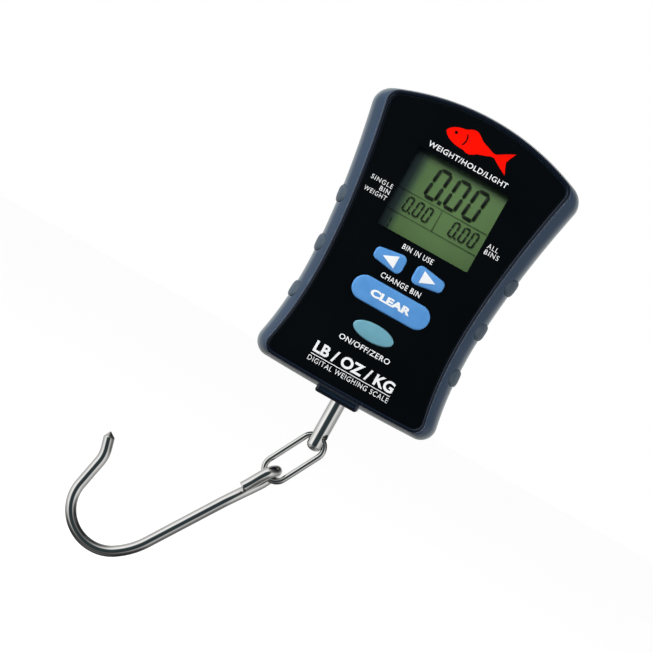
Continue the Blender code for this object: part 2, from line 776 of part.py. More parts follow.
# ---- load cell: an S-shaped beam between the bracket and the draw rod ---------------
# (x from the line of pull, z), anticlockwise
BEAM_OUTLINE = (
    (-13, -36), (13, -36), (13, -12), (-6, -12), (-6, -4), (13, -4),
    (13, 4), (-13, 4), (-13, -20), (6, -20), (6, -28), (-13, -28),
)
STRAIN_X = 3.6          # strain holes each side of the line of pull
STRAIN_Z = -16.0


def build_load_cell():
    beam = [(LOAD_X + x, z) for x, z in BEAM_OUTLINE]
    beam = prism(beam, LOAD_Y - 5, LOAD_Y + 5)
    load_cell = add_piece("load_cell", beam, "aluminium", smooth=30)
    left, right = LOAD_X - STRAIN_X, LOAD_X + STRAIN_X
    holes = cylinders_y(((left, STRAIN_Z), (right, STRAIN_Z)), 2.9, -20, -5)
    cut(load_cell, "cut_strain_holes", holes)
    slot = box(left, right, -20, -5, STRAIN_Z - 1.1, STRAIN_Z + 1.1)
    cut(load_cell, "cut_strain_slot", slot)
    cut(load_cell, "cut_cell_bores", pull_cylinder(ROD_R + ROD_CLEARANCE, -38, -27))
    cut(load_cell, "cut_bolt_bore", pull_cylinder(BOLT_BORE_R, -6, 6))

    for level, bottom, top in (("upper", -11.8, -11.6), ("lower", -20.4, -20.2)):
        film = box(LOAD_X - 2.6, LOAD_X + 2.6, LOAD_Y - 2.2, LOAD_Y + 2.2, bottom, top)
        add_piece(f"strain_gauge_{level}", film, "amber_film")


# ---- bracket: a bent plate that hangs the load cell from the rear case --------------


def build_bracket():
    top = 5.9
    shelf = box(-11.5, 11.5, -17.2, -6.2, 4.3, top)
    bracket = add_piece("load_cell_bracket", shelf, "zinc")
    join(bracket, "add_bracket_leaf", box(-22.0, 22.0, -7.1, -5.5, -9.0, top))
    cut(bracket, "cut_bracket_holes", cylinders_y(BRACKET_SCREWS, 1.6, -9, -4, 14))
    cut(bracket, "cut_bracket_bore", pull_cylinder(BOLT_BORE_R, 3, 7))

    head = on_pull([(5.3, 6.2), (5.3, 10.0), (4.9, 10.2)], 6)
    bolt = add_piece("load_cell_bolt", head, "zinc")
    join(bolt, "add_bolt_shank", on_pull([(2.6, -3.8), (3.0, -3.4), (3.0, 7.0)]))


# ---- cable and battery leads --------------------------------------------------------
# Points are (x, y, z) that each wire passes through.
SENSOR_CABLE = (
    (-14.2, -9.0, -17.0), (-15.0, -8.6, -17.4), (-16.4, -8.6, -18.6), (-18.2, -9.6, -20.8),
    (-19.0, -12.0, -23.0), (-19.3, -16.0, -23.4), (-19.3, -19.4, -23.4),
)
NEGATIVE_LEAD = (
    (LEAD_X, -12.2, NEGATIVE_LEAD_Z), (LEAD_X, -15.0, NEGATIVE_LEAD_Z),
    (-24.0, -16.6, NEGATIVE_LEAD_Z - 0.8), (-23.6, -17.3, NEGATIVE_LEAD_Z - 4),
    (-22.6, -17.3, 22.0), (-21.8, -17.5, 12.0), (-21.6, -18.2, 9.4), (-21.6, -19.4, 8.8),
)
POSITIVE_LEAD = (
    (LEAD_X, -12.0, POSITIVE_LEAD_Z), (LEAD_X, -15.0, POSITIVE_LEAD_Z),
    (-24.1, -16.6, POSITIVE_LEAD_Z - 0.6), (-24.0, -17.6, POSITIVE_LEAD_Z - 3),
    (-24.0, -18.2, 8.0), (-24.0, -19.4, 6.6),
)


def build_wires():
    add_piece("sensor_cable", swept(smoothed(SENSOR_CABLE), 0.9, 6), "grey_wire")
    add_piece("lead_negative", swept(smoothed(NEGATIVE_LEAD), 0.6, 5), "grey_wire")
    add_piece("lead_positive", swept(smoothed(POSITIVE_LEAD), 0.6, 5), "red_wire")


# ---- batteries and contacts ---------------------------------------------------------
# (radius, distance along X towards the positive nub)
CELL_PROFILE = (
    (CELL_R - 0.4, -19.7), (CELL_R, -19.3), (CELL_R, 23.1), (CELL_R - 0.5, 23.6),
    (1.9, 23.6), (1.9, 24.5), (1.5, 24.7),
)
SPRING_TURNS = 3.5
SPRING_STEPS = 10       # per turn


def battery(sign, z):
    """An AAA cell along X; sign is the direction of its positive nub."""
    profile = [(radius, sign * x) for radius, x in CELL_PROFILE]
    return turned(profile, (0, CELL_Y, z), "X", 18)


def spring(sign, middle_z):
    """A conical contact spring, wide at the wall of the bay."""
    path = []
    count = int(SPRING_TURNS * SPRING_STEPS)
    for i in range(count + 1):
        share = i / count
        radius = 3.7 - 1.2 * share
        angle = 2 * math.pi * SPRING_TURNS * share
        y = CELL_Y + radius * math.cos(angle)
        z = middle_z + radius * math.sin(angle)
        path.append((sign * (24.9 - 4.5 * share), y, z))
    return swept(path, 0.38, 4)


def build_batteries():
    for level, sign, z in (("upper", 1, UPPER_CELL_Z), ("lower", -1, LOWER_CELL_Z)):
        add_piece(f"battery_{level}", battery(sign, z), "cell_wrap")
        add_piece(f"battery_spring_{level}", spring(-sign, z), "steel")
    front, back, bottom = CELL_Y - 4, CELL_Y + 4, 19.4
    add_piece("contact_bridge", box(25.35, 25.55, front, back, bottom, 38.8), "steel")
    add_piece("contact_positive", box(-25.4, -25.0, front, back, bottom, 27.0), "steel")


# ---- draw rod, washer and nut, turning together about the line of pull --------------
ROD_ORIGIN = (LOAD_X, LOAD_Y, -40.0)
ROD_TOP = -21.5
ROD_TIP = -80.92
ROD_DOME = 2.2          # height of the rounded tip
EYE_BORE_R = 1.55
EYE_MOUTH_Z = -74.75
EYE_MOUTH_ANGLE = 35    # degrees from the right towards the front
# (radius, z) round the washer's section
WASHER_SECTION = ((3.4, -27.75), (5.4, -27.75), (5.4, -26.9), (3.4, -26.9))
NUT_PROFILE = ((4.9, -26.6), (5.4, -26.3), (5.4, -22.9), (4.9, -22.6))     # (radius, z)

LINK_PIVOT = (0.17, LOAD_Y, -79.75)
LINK_WIRE_R = 1.2
LINK_ARC_R = 4.6
LINK_HALF = 7.725       # from the link's middle to the centre of each end arc
LINK_TILT = 28.05       # degrees from hanging straight down, to the left


def build_draw_rod():
    dome_base = ROD_TIP + ROD_DOME
    profile = [(2.5, ROD_TOP), (ROD_R, ROD_TOP - 0.5), (ROD_R, dome_base)]
    for k in range(1, 5):
        angle = math.radians(90 * k / 5)
        profile.append((ROD_R * math.cos(angle), dome_base - ROD_DOME * math.sin(angle)))
    profile.append((0.35, ROD_TIP))
    rod = add_piece("eye_rod", on_pull(profile), "steel", ROD_ORIGIN)

    # A curved hole about the link's own pivot, so that the wire turns in it
    pivot_x, pivot_y, pivot_z = LINK_PIVOT
    eye = at_depth(arc(pivot_x, pivot_z, LINK_ARC_R, 0, 360, 32)[:-1], pivot_y)
    cut(rod, "cut_link_eye", swept(eye, EYE_BORE_R, 10, closed=True))
    # The mouth it is drilled through, level and slanting out to the front right
    slant = math.radians(EYE_MOUTH_ANGLE)
    mouth = [
        (LOAD_X + reach * math.cos(slant), LOAD_Y - reach * math.sin(slant), EYE_MOUTH_Z)
        for reach in (-0.6, 5.0)
    ]
    cut(rod, "cut_eye_mouth", swept(mouth, 1.6, 12))
    return rod


def build_washer(rod):
    rings = [
        [(x, y, z) for x, y in arc(LOAD_X, LOAD_Y, radius, 0, 360, 20)[:-1]]
        for radius, z in WASHER_SECTION
    ]
    washer = add_piece("rod_washer", loft(rings, closed=True), "zinc", ROD_ORIGIN)
    carry(washer, rod)


def build_nut(rod):
    nut = add_piece("rod_nut", on_pull(NUT_PROFILE, 6), "zinc", ROD_ORIGIN)
    cut(nut, "cut_nut_bore", pull_cylinder(3.4, -30, -20))
    carry(nut, rod)


# ---- link: a closed oval of wire ----------------------------------------------------


def build_link(rod):
    """Make the link and return it with the pivot of the hook at its lower end."""
    lean = math.radians(LINK_TILT)
    down = Vector((-math.sin(lean), 0, -math.cos(lean)))
    across = Vector((math.cos(lean), 0, -math.sin(lean)))
    pivot = Vector(LINK_PIVOT)
    hook_pivot = pivot + down * (2 * LINK_HALF)
    oval = []
    for centre, start in ((pivot, 0), (hook_pivot, 180)):
        for side, up in arc(0, 0, LINK_ARC_R, start, start + 180, 12):
            oval.append(centre + across * side - down * up)
    wire = swept(oval, LINK_WIRE_R, 8, closed=True)
    link = add_piece("link", wire, "steel", LINK_PIVOT)
    carry(link, rod)
    return link, hook_pivot


# ---- hook: one wire bent into an eye, a shank and the bend --------------------------
HOOK_TILT = 34.0        # degrees from hanging straight down, to the left
HOOK_WIRE_R = 2.2
HOOK_EYE_R = 3.7
HOOK_EYE_CENTRE = 4.04  # distances along the hook from its pivot
HOOK_CUT_END = 14.1
HOOK_HEADING = -1.19    # degrees, of the shank where the runs begin
# (length, turn in degrees, steps) of each run of wire, from under the eye to the tip
HOOK_RUNS = (
    (31.89, 0, 3), (12.64, 23.9, 4), (18.2, 67.4, 8), (17.85, 67.4, 7), (10.77, 0, 2),
    (5.6, -26.7, 4), (4.2, 0, 2), (1.6, 0, 2), (0.7, 0, 1),
)
HOOK_TIP_RADII = (1.42, 0.82, 0.3)      # at the last points of the wire


def ease(share):
    return share * share * (3 - 2 * share)


def hook_wire():
    """(along, open side, depth) points of the wire's centre line, from its cut end to the tip."""
    points = []
    leg = HOOK_CUT_END - HOOK_EYE_CENTRE
    for i in range(5):          # the return leg, from its cut end back to the eye
        share = 1 - i / 4
        eased = ease(share)
        depth = -HOOK_EYE_R + 0.8 * eased
        points.append((HOOK_EYE_CENTRE + leg * share, 0.1 - 0.5 * eased, depth))
    for i in range(1, 10):      # round the top of the eye, stepping across to the other leg
        share = i / 10
        angle = math.radians(-90 + 180 * share)
        along = HOOK_EYE_CENTRE - HOOK_EYE_R * math.cos(angle)
        points.append((along, 0.1 - share - 0.75 * share * share,
                       HOOK_EYE_R * math.sin(angle)))
    for i in range(9):          # the shank side runs in under the line of pull
        share = i / 8
        eased = ease(share)
        aside = -2.17 + 0.2 * eased + 0.52 * max(0.0, 1 - i / 2) ** 2
        points.append((HOOK_EYE_CENTRE + 19.35 * share, aside, HOOK_EYE_R * (1 - eased)))
    along, aside, _ = points[-1]
    heading = math.radians(HOOK_HEADING)
    for length, turn, count in HOOK_RUNS:
        half_turn = math.radians(turn / count) / 2
        for _ in range(count):
            heading += half_turn
            along += length / count * math.cos(heading)
            aside += length / count * math.sin(heading)
            heading += half_turn
            points.append((along, aside, 0.0))
    return points


def build_hook(link, pivot):
    lean = math.radians(HOOK_TILT)
    down = Vector((-math.sin(lean), 0, -math.cos(lean)))
    open_side = Vector((-math.cos(lean), 0, math.sin(lean)))
    path = [
        pivot + down * along + open_side * aside + Vector((0, depth, 0))
        for along, aside, depth in hook_wire()
    ]
    radii = [HOOK_WIRE_R] * (len(path) - len(HOOK_TIP_RADII)) + list(HOOK_TIP_RADII)
    hook = add_piece("hook", swept(path, radii), "steel", tuple(pivot), smooth=40)
    carry(hook, link)


# ---- the whole scale ----------------------------------------------------------------


def build_scale():
    pad_pockets = build_grip_pads()
    # The collar's way through the boss and the bottom wall
    collar_way = add_helper("cut_collar", box(-7.6, 7.6, -19.0, -6.0, -62, -52))
    build_front_case(collar_way, pad_pockets)
    build_rear_case(collar_way, pad_pockets)
    build_battery_door()
    build_gasket()
    build_screws()
    build_rod_collar()
    build_overlay()
    build_display()
    for key, (shape, place, look) in KEYS.items():
        build_key(key, shape, place, look)
    build_circuit_board()
    build_load_cell()
    build_bracket()
    build_wires()
    build_batteries()
    rod = build_draw_rod()
    build_washer(rod)
    build_nut(rod)
    link, hook_pivot = build_link(rod)
    build_hook(link, hook_pivot)


build_scale()
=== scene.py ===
"""Digital fish scale: a waisted case with a hook hanging from a swivelling rod.

Shapes are written in millimetres and stored in metres. The face looks along -Y and reads with
X to the right and Z up. The battery door is on the +Y side; rod, link and hook hang towards -Z.
Case screws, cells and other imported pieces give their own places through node_box and joint_at.
"""
import json
import math

import bmesh
import bpy
from mathutils import Matrix, Vector
from mathutils.kdtree import KDTree


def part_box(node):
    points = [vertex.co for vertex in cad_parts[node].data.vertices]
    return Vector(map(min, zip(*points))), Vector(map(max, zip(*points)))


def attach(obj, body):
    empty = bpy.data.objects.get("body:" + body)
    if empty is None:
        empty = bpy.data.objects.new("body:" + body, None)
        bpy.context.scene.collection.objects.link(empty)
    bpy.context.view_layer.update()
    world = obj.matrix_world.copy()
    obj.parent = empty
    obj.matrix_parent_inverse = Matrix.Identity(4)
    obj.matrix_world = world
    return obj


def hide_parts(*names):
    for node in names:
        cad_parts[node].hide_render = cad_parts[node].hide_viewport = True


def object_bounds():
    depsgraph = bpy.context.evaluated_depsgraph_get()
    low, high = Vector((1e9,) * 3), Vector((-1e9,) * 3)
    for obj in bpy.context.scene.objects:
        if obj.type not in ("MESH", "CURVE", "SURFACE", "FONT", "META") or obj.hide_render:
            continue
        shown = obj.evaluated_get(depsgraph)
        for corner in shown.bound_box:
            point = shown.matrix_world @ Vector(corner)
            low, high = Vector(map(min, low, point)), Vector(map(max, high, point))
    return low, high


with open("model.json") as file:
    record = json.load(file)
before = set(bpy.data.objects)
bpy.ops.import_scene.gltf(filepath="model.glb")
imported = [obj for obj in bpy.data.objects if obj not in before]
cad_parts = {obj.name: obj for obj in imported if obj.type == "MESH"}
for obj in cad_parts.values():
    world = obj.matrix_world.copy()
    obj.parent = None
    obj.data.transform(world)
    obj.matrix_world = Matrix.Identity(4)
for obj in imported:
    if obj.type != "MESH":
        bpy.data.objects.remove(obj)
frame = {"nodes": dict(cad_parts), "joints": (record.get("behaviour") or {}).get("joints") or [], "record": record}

CAD_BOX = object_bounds()
MM = 0.001
ADD, CUT = "UNION", "DIFFERENCE"


def node_box(name):
    low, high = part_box(name)
    return Vector(low) / MM, Vector(high) / MM


JOINT = {joint["name"]: joint for joint in frame["joints"]}


def joint_at(name):
    return Vector(JOINT[name]["pos_m"]) / MM


CASE_LOW, CASE_HIGH = node_box("front_case")

# Outline of the case in X and Z: an arched crown, waisted sides and a nearly flat foot.
CROWN_Z = CASE_HIGH.z
CROWN_R = 96.5
FOOT_Z = -58.93
FOOT_R = 900.0
WAIST_Z = -22.9
WAIST_HALF = 34.6
UPPER_FLARE = (8.7, 67.3, 1.7)  # widening, height it is reached over, power
LOWER_FLARE = (2.9, 29.2, 2.2)
FOOT_STEPS, LOW_STEPS, SIDE_STEPS, TOP_STEPS, CROWN_STEPS = 14, 12, 72, 14, 26

# Depths of the case.
WALL = 2.2
PART_Y = -14.0
PART_GAP = 0.15
FLOOR_Y = -29.5  # recessed floor of the face, inside the bead
RIM_Y = CASE_LOW.y  # crest of the bead
FRONT_IN_Y = -27.2
OVERLAY_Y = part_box("face_overlay")[0].y / MM

WINDOW = (37.9, 32.1)
WINDOW_Z = 20.4
CASE_SCREWS = ((-33.0, 40.0), (33.0, 40.0), (-28.0, -49.1), (28.0, -49.1))
INNER_POSTS = ((-25.0, 36.5), (25.0, 36.5), (-24.0, -33.5), (24.0, -33.5))

# Rod, link and hook.
LINK_PIVOT = joint_at("link_swing")
HOOK_PIVOT = joint_at("hook_swing")
LOAD_X = joint_at("rod_swivel").x
LOAD_Y = LINK_PIVOT.y
ROD_R = 3.1
LINK_WIRE_R = 1.2
LINK_ARC_R = 4.6
HOOK_TILT = 34.0
HOOK_WIRE_R = 2.2
HOOK_EYE_R = 3.7

# ---- mesh helpers -----------------------------------------------------------------


def add_object(name, data):
    obj = bpy.data.objects.new(name, data)
    bpy.context.scene.collection.objects.link(obj)
    return obj


def as_mesh(name, solid):
    """A bmesh in millimetres becomes a mesh in metres, with its normals outward."""
    bmesh.ops.recalc_face_normals(solid, faces=solid.faces)
    for vert in solid.verts:
        vert.co = vert.co * MM
    mesh = bpy.data.meshes.new(name)
    solid.to_mesh(mesh)
    solid.free()
    return mesh


def shade(mesh, smooth):
    """Smooth shading; edges over the angle stay sharp, unless the angle is 0."""
    mesh.shade_smooth()
    if smooth:
        mesh.set_sharp_from_angle(angle=math.radians(smooth))


def carve(obj, tools, smooth):
    """Apply each (operation, bmesh) in turn as an exact Boolean, then remove the tools."""
    helpers = []
    for i, (operation, solid) in enumerate(tools):
        helper = add_object(f"tool_{i}", as_mesh(f"tool_{i}", solid))
        helper.hide_render = True
        helpers.append(helper)
        step = obj.modifiers.new(f"step_{i}", "BOOLEAN")
        step.object = helper
        step.operation = operation
        step.solver = "EXACT"
    bpy.context.view_layer.update()
    graph = bpy.context.evaluated_depsgraph_get()
    carved = bpy.data.meshes.new_from_object(obj.evaluated_get(graph))
    obj.modifiers.clear()
    plain = obj.data
    obj.data = carved
    bpy.data.meshes.remove(plain)
    shade(carved, smooth)
    for helper in helpers:
        mesh = helper.data
        bpy.data.objects.remove(helper)
        bpy.data.meshes.remove(mesh)


def place(name, solid, look, smooth, body="case", replaces=None, tools=()):
    """A bmesh becomes a piece that rides on a body, carved by any tools."""
    mesh = as_mesh(name, solid)
    obj = add_object(name, mesh)
    mesh.materials.append(look.owner)
    shade(mesh, smooth)
    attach(obj, body)
    if replaces:
        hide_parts(replaces)
    if tools:
        carve(obj, tools, smooth)
    return obj


def loft(rings, solid=None, closed=False):
    """Skin through rings of points, capped at the ends unless the last joins the first."""
    solid = solid or bmesh.new()
    rows = [[solid.verts.new(point) for point in ring_] for ring_ in rings]
    count = len(rows[0])
    for row, following in zip(rows, rows[1:] + ([rows[0]] if closed else [])):
        for i in range(count):
            j = (i + 1) % count
            solid.faces.new((row[i], row[j], following[j], following[i]))
    if not closed:
        solid.faces.new(rows[0])
        solid.faces.new(rows[-1])
    return solid


def prism(shape, y_from, y_to, solid=None):
    return loft([[(x, y, z) for x, z in shape] for y in (y_from, y_to)], solid)


def inset(shape, distance):
    """An anticlockwise outline drawn in by a distance."""
    moved = []
    count = len(shape)
    for i in range(count):
        before, here, after = (Vector(shape[(i + k) % count]) for k in (-1, 0, 1))
        first = (here - before).normalized()
        second = (after - here).normalized()
        first_left = Vector((-first.y, first.x))
        left = (first_left + Vector((-second.y, second.x))).normalized()
        lean = max(0.3, left.dot(first_left))
        moved.append(tuple(here + left * (distance / lean)))
    return moved


def box(x_span, y_span, z_span, solid=None):
    left, right = x_span
    low, high = z_span
    corners = [(left, low), (right, low), (right, high), (left, high)]
    return prism(corners, *y_span, solid)


def arc(x, z, radius, start, end, steps):
    angles = [math.radians(start + (end - start) * i / steps) for i in range(steps + 1)]
    return [(x + radius * math.cos(angle), z + radius * math.sin(angle)) for angle in angles]


def rounded(width, height, radius, x=0.0, z=0.0, steps=8):
    """A rectangle about (x, z) with rounded corners."""
    right, up = width / 2 - radius, height / 2 - radius
    points = []
    for x_sign, z_sign, start in ((1, -1, -90), (1, 1, 0), (-1, 1, 90), (-1, -1, 180)):
        points += arc(x + x_sign * right, z + z_sign * up, radius, start, start + 90, steps)
    return points


def turned(profile, centre, axis="Z", sides=48, solid=None):
    """A (radius, position along the axis) profile spun about an axis."""
    rings = []
    for radius, height in profile:
        ring_ = []
        for i in range(sides):
            angle = 2 * math.pi * (i + 0.5) / sides
            across, up = radius * math.cos(angle), radius * math.sin(angle)
            offset = {"Z": (across, up, height), "Y": (across, height, up),
                      "X": (height, across, up)}[axis]
            ring_.append(tuple(start + step for start, step in zip(centre, offset)))
        rings.append(ring_)
    return loft(rings, solid)


def rods(places, radius, y_span, sides, solid=None):
    """Plain rods along Y at each (x, z)."""
    for x, z in places:
        solid = turned([(radius, y) for y in y_span], (x, 0, z), "Y", sides, solid)
    return solid


def swept(points, radii, sides, closed=False):
    """Wire along a path, with frames carried along it without twist."""
    points = [Vector(point) for point in points]
    count = len(points)
    if not hasattr(radii, "__len__"):
        radii = [radii] * count
    tangents = []
    for i in range(count):
        if closed:
            step = points[(i + 1) % count] - points[i - 1]
        else:
            step = points[min(i + 1, count - 1)] - points[max(i - 1, 0)]
        tangents.append(step.normalized())
    guide = Vector((0, 1, 0)) if abs(tangents[0].y) < 0.9 else Vector((0, 0, 1))
    normal = (guide - tangents[0] * guide.dot(tangents[0])).normalized()
    turns = [2 * math.pi * k / sides for k in range(sides)]
    rings = []
    for point, tangent, radius in zip(points, tangents, radii):
        normal = (normal - tangent * normal.dot(tangent)).normalized()
        side = tangent.cross(normal)
        rings.append([
            tuple(point + normal * (radius * math.cos(turn)) + side * (radius * math.sin(turn)))
            for turn in turns])
    return loft(rings, closed=closed)


def eased_prism(shape, y_back, y_front, ease_by=0.35, steps=4):
    """A plate whose rim at y_front is rounded over; y_front may lie either way along Y."""
    out = 1 if y_front > y_back else -1
    rings = [[(x, y_back, z) for x, z in shape]]
    for k in range(steps + 1):
        angle = math.pi / 2 * k / steps
        drawn = inset(shape, ease_by * (1 - math.cos(angle))) if k else shape
        y = y_front - out * ease_by * (1 - math.sin(angle))
        rings.append([(x, y, z) for x, z in drawn])
    return loft(rings)


def ease(share):
    share = min(1.0, max(0.0, share))
    return share * share * (3 - 2 * share)


# ---- the outline of the case ------------------------------------------------------


def side_at(side, z):
    """The x of a side drawn in by this amount, a little less so low down the case."""
    widening, height, power = UPPER_FLARE if z >= WAIST_Z else LOWER_FLARE
    half_width = WAIST_HALF + widening * (abs(z - WAIST_Z) / height) ** power
    return half_width - side * (0.925 + 0.002 * z)


def fillet(side, radius, centre_z, arc_radius, low, high):
    """Centre of the corner arc that touches the side and the end arc, and its height there."""

    def centre_for(z):
        slope = (side_at(side, z + 0.01) - side_at(side, z - 0.01)) / 0.02
        size = math.hypot(1.0, slope)
        return side_at(side, z) - radius / size, z + radius * slope / size

    def gap(z):
        x, corner_z = centre_for(z)
        return math.hypot(x, corner_z - centre_z) - (arc_radius - radius)

    falling = gap(low) > gap(high)
    for _ in range(60):
        middle = (low + high) / 2
        if (gap(middle) > 0) != falling:
            high = middle
        else:
            low = middle
    return *centre_for(low), low


def outline(side, top, bottom, top_radius, bottom_radius):
    """Anticlockwise (x, z) ring of the case, drawn in by these amounts."""
    crown_z, crown_radius = CROWN_Z - CROWN_R, CROWN_R - top
    foot_z, foot_radius = FOOT_Z + FOOT_R, FOOT_R - bottom
    top_x, top_z, side_top = fillet(side, top_radius, crown_z, crown_radius, 20.0, 58.0)
    low_x, low_z, side_low = fillet(side, bottom_radius, foot_z, foot_radius, -58.0, -30.0)

    foot_end = math.degrees(math.atan2(low_z - foot_z, low_x))
    half = arc(0, foot_z, foot_radius, -90, foot_end, FOOT_STEPS)
    low_end = math.degrees(math.atan2(side_low - low_z, side_at(side, side_low) - low_x))
    half += arc(low_x, low_z, bottom_radius, foot_end, low_end, LOW_STEPS)[1:]
    for i in range(1, SIDE_STEPS + 1):
        z = side_low + (side_top - side_low) * i / SIDE_STEPS
        half.append((side_at(side, z), z))
    top_start = math.degrees(math.atan2(side_top - top_z, half[-1][0] - top_x))
    crown_end = math.degrees(math.atan2(top_z - crown_z, top_x))
    half += arc(top_x, top_z, top_radius, top_start, crown_end, TOP_STEPS)[1:]
    half += arc(0, crown_z, crown_radius, crown_end, 90, CROWN_STEPS)[1:]
    return half + [(-x, z) for x, z in reversed(half[1:-1])]


def ring(y, *drawn_in):
    return [(x, y, z) for x, z in outline(*drawn_in)]


# Outside of the case: y, side, top and bottom draw-in, top and bottom corner radius.
FRONT_KEYS = (
    (-29.5, 5.3, 1.0, 1.5, 4.8, 4.2), (-29.0, 4.7, 0.9, 1.35, 5.0, 4.4),
    (-27.0, 3.3, 0.62, 0.95, 5.7, 4.9), (-24.0, 1.6, 0.3, 0.5, 6.4, 5.5),
    (-20.0, 0.4, 0.08, 0.14, 6.85, 5.9), (-14.15, 0.0, 0.0, 0.0, 7.0, 6.0))
REAR_KEYS = (
    (-13.85, 0.0, 0.0, 0.0, 7.0, 6.0), (-9.0, 0.3, 0.3, 0.3, 6.9, 5.9),
    (-5.0, 0.8, 0.8, 0.8, 6.7, 5.6), (-2.2, 1.7, 1.7, 1.7, 6.2, 4.9),
    (-0.7, 3.0, 3.0, 3.0, 5.6, 4.4), (0.0, 4.6, 4.6, 4.6, 5.0, 4.0))


def spline(before, here, after, beyond, share):
    return 0.5 * (
        (2 * here) + (after - before) * share
        + (2 * before - 5 * here + 4 * after - beyond) * share * share
        + (3 * here - before - 3 * after + beyond) * share**3)


def curve_keys(keys, steps=5):
    """The table turned into a smooth curve through its rows."""
    start = [2 * here - after for here, after in zip(keys[0], keys[1])]
    end = [2 * here - before for here, before in zip(keys[-1], keys[-2])]
    rows = [start, *keys, end]
    curve = []
    for i in range(1, len(rows) - 2):
        columns = list(zip(*rows[i - 1:i + 3]))
        for k in range(steps):
            curve.append([spline(*column, k / steps) for column in columns])
    return curve + [keys[-1]]


FRONT_CURVE = curve_keys(FRONT_KEYS)
REAR_CURVE = curve_keys(REAR_KEYS)


def side_inset(y):
    """How far the sides of the case are drawn in at this depth."""
    curve = FRONT_CURVE if y < PART_Y else REAR_CURVE
    y = min(max(y, curve[0][0]), curve[-1][0])
    for (y_low, low, *_), (y_high, high, *_) in zip(curve, curve[1:]):
        if y <= y_high:
            return low + (high - low) * ((y - y_low) / (y_high - y_low))


# ---- material helpers -------------------------------------------------------------


class Graph:
    """The node tree of a material or a world."""

    def __init__(self, owner):
        owner.use_nodes = True
        self.owner = owner
        self.nodes = owner.node_tree.nodes
        self.links = owner.node_tree.links

    def set(self, node, inputs):
        """Give each named input of a node its value, or link the socket given for it."""
        for key, value in inputs.items():
            if isinstance(value, bpy.types.NodeSocket):
                self.links.new(value, node.inputs[key])
            else:
                node.inputs[key].default_value = value

    def node(self, kind, inputs=None, **settings):
        made = self.nodes.new("ShaderNode" + kind)
        for key, value in settings.items():
            setattr(made, key, value)
        self.set(made, inputs or {})
        return made

    def mix(self, factor, first, second, blend_type="MIX"):
        """Mix two colours; sockets 6 and 7 of a Mix node are its colour A and B."""
        inputs = {"Factor": factor, 6: first, 7: second}
        return self.node("Mix", inputs, data_type="RGBA", blend_type=blend_type).outputs[2]

    def ramp(self, source, stops, interpolation="LINEAR"):
        """Colours or grey levels by (position, level) stops."""
        made = self.node("ValToRGB", {"Fac": source})
        elements = made.color_ramp.elements
        while len(elements) < len(stops):
            elements.new(0.5)
        for element, (at, level) in zip(elements, stops):
            element.position = at
            element.color = (*level, 1.0) if hasattr(level, "__len__") else (*[level] * 3, 1.0)
        made.color_ramp.interpolation = interpolation
        return made.outputs["Color"]


class Look(Graph):
    """A material built around one Principled BSDF."""

    def __init__(self, name, roughness, metallic=0.0):
        super().__init__(bpy.data.materials.new(name))
        self.shader = self.nodes["Principled BSDF"]
        self.surface({"Roughness": roughness, "Metallic": metallic})

    def surface(self, inputs):
        self.set(self.shader, inputs)
        return self

    def noise(self, scale, detail=3.0, rough=0.55, kind="Object", stretch=(1, 1, 1)):
        coordinates = self.node("TexCoord").outputs[kind]
        mapping = self.node("Mapping", {"Scale": stretch, "Vector": coordinates})
        return self.node("TexNoise", {
            "Scale": scale, "Detail": detail, "Roughness": rough,
            "Vector": mapping.outputs["Vector"]}).outputs["Fac"]

    def clouds(self, low, high, scale, detail=4.0, rough=0.55, span=(0.3, 0.7)):
        """Noise that runs from one level to another over a span of its range."""
        return self.ramp(self.noise(scale, detail, rough), ((span[0], low), (span[1], high)))

    def tint(self, low, high, scale, **noise):
        return self.surface({"Base Color": self.clouds(low, high, scale, **noise)})

    def gloss(self, low, high, scale, span=(0.3, 0.8), **noise):
        return self.surface({"Roughness": self.clouds(low, high, scale, span=span, **noise)})

    def bump(self, height, strength, depth):
        """Relief from a height socket; depth is in metres."""
        made = self.node("Bump", {"Strength": strength, "Distance": depth, "Height": height})
        return self.surface({"Normal": made.outputs["Normal"]})

    def grain(self, scale, strength, depth, detail=2.0, rough=0.55):
        return self.bump(self.noise(scale, detail, rough), strength, depth)


def shades(color, low, high):
    return tuple(part * low for part in color), tuple(part * high for part in color)


def moulded(name, color, roughness, grain=5000.0, depth=0.00002, strength=0.25, vary=0.12,
            cloud=90.0):
    """Moulded or coated surface: cloudy colour, uneven gloss and a fine grain."""
    look = Look(name, roughness)
    look.tint(*shades(color, 1 - vary, 1 + vary), cloud)
    look.gloss(roughness * 0.88, roughness * 1.15, cloud * 2.7, detail=5.0, span=(0.3, 0.75))
    return look.grain(grain, strength, depth)


def metal(name, color, roughness, stretch, strength, depth=0.000012, kind="Object"):
    """Bright metal with fine draw marks, set by the stretch of its coordinates."""
    look = Look(name, roughness, metallic=1.0)
    look.tint(*shades(color, 0.9, 1.03), scale=160, detail=5.0)
    marks = look.noise(1.0, 3.0, 0.6, kind, stretch)
    stops = ((0.3, roughness * 0.5), (0.75, roughness * 1.5))
    look.surface({"Roughness": look.ramp(marks, stops)})
    return look.bump(marks, strength, depth)


# ---- materials --------------------------------------------------------------------


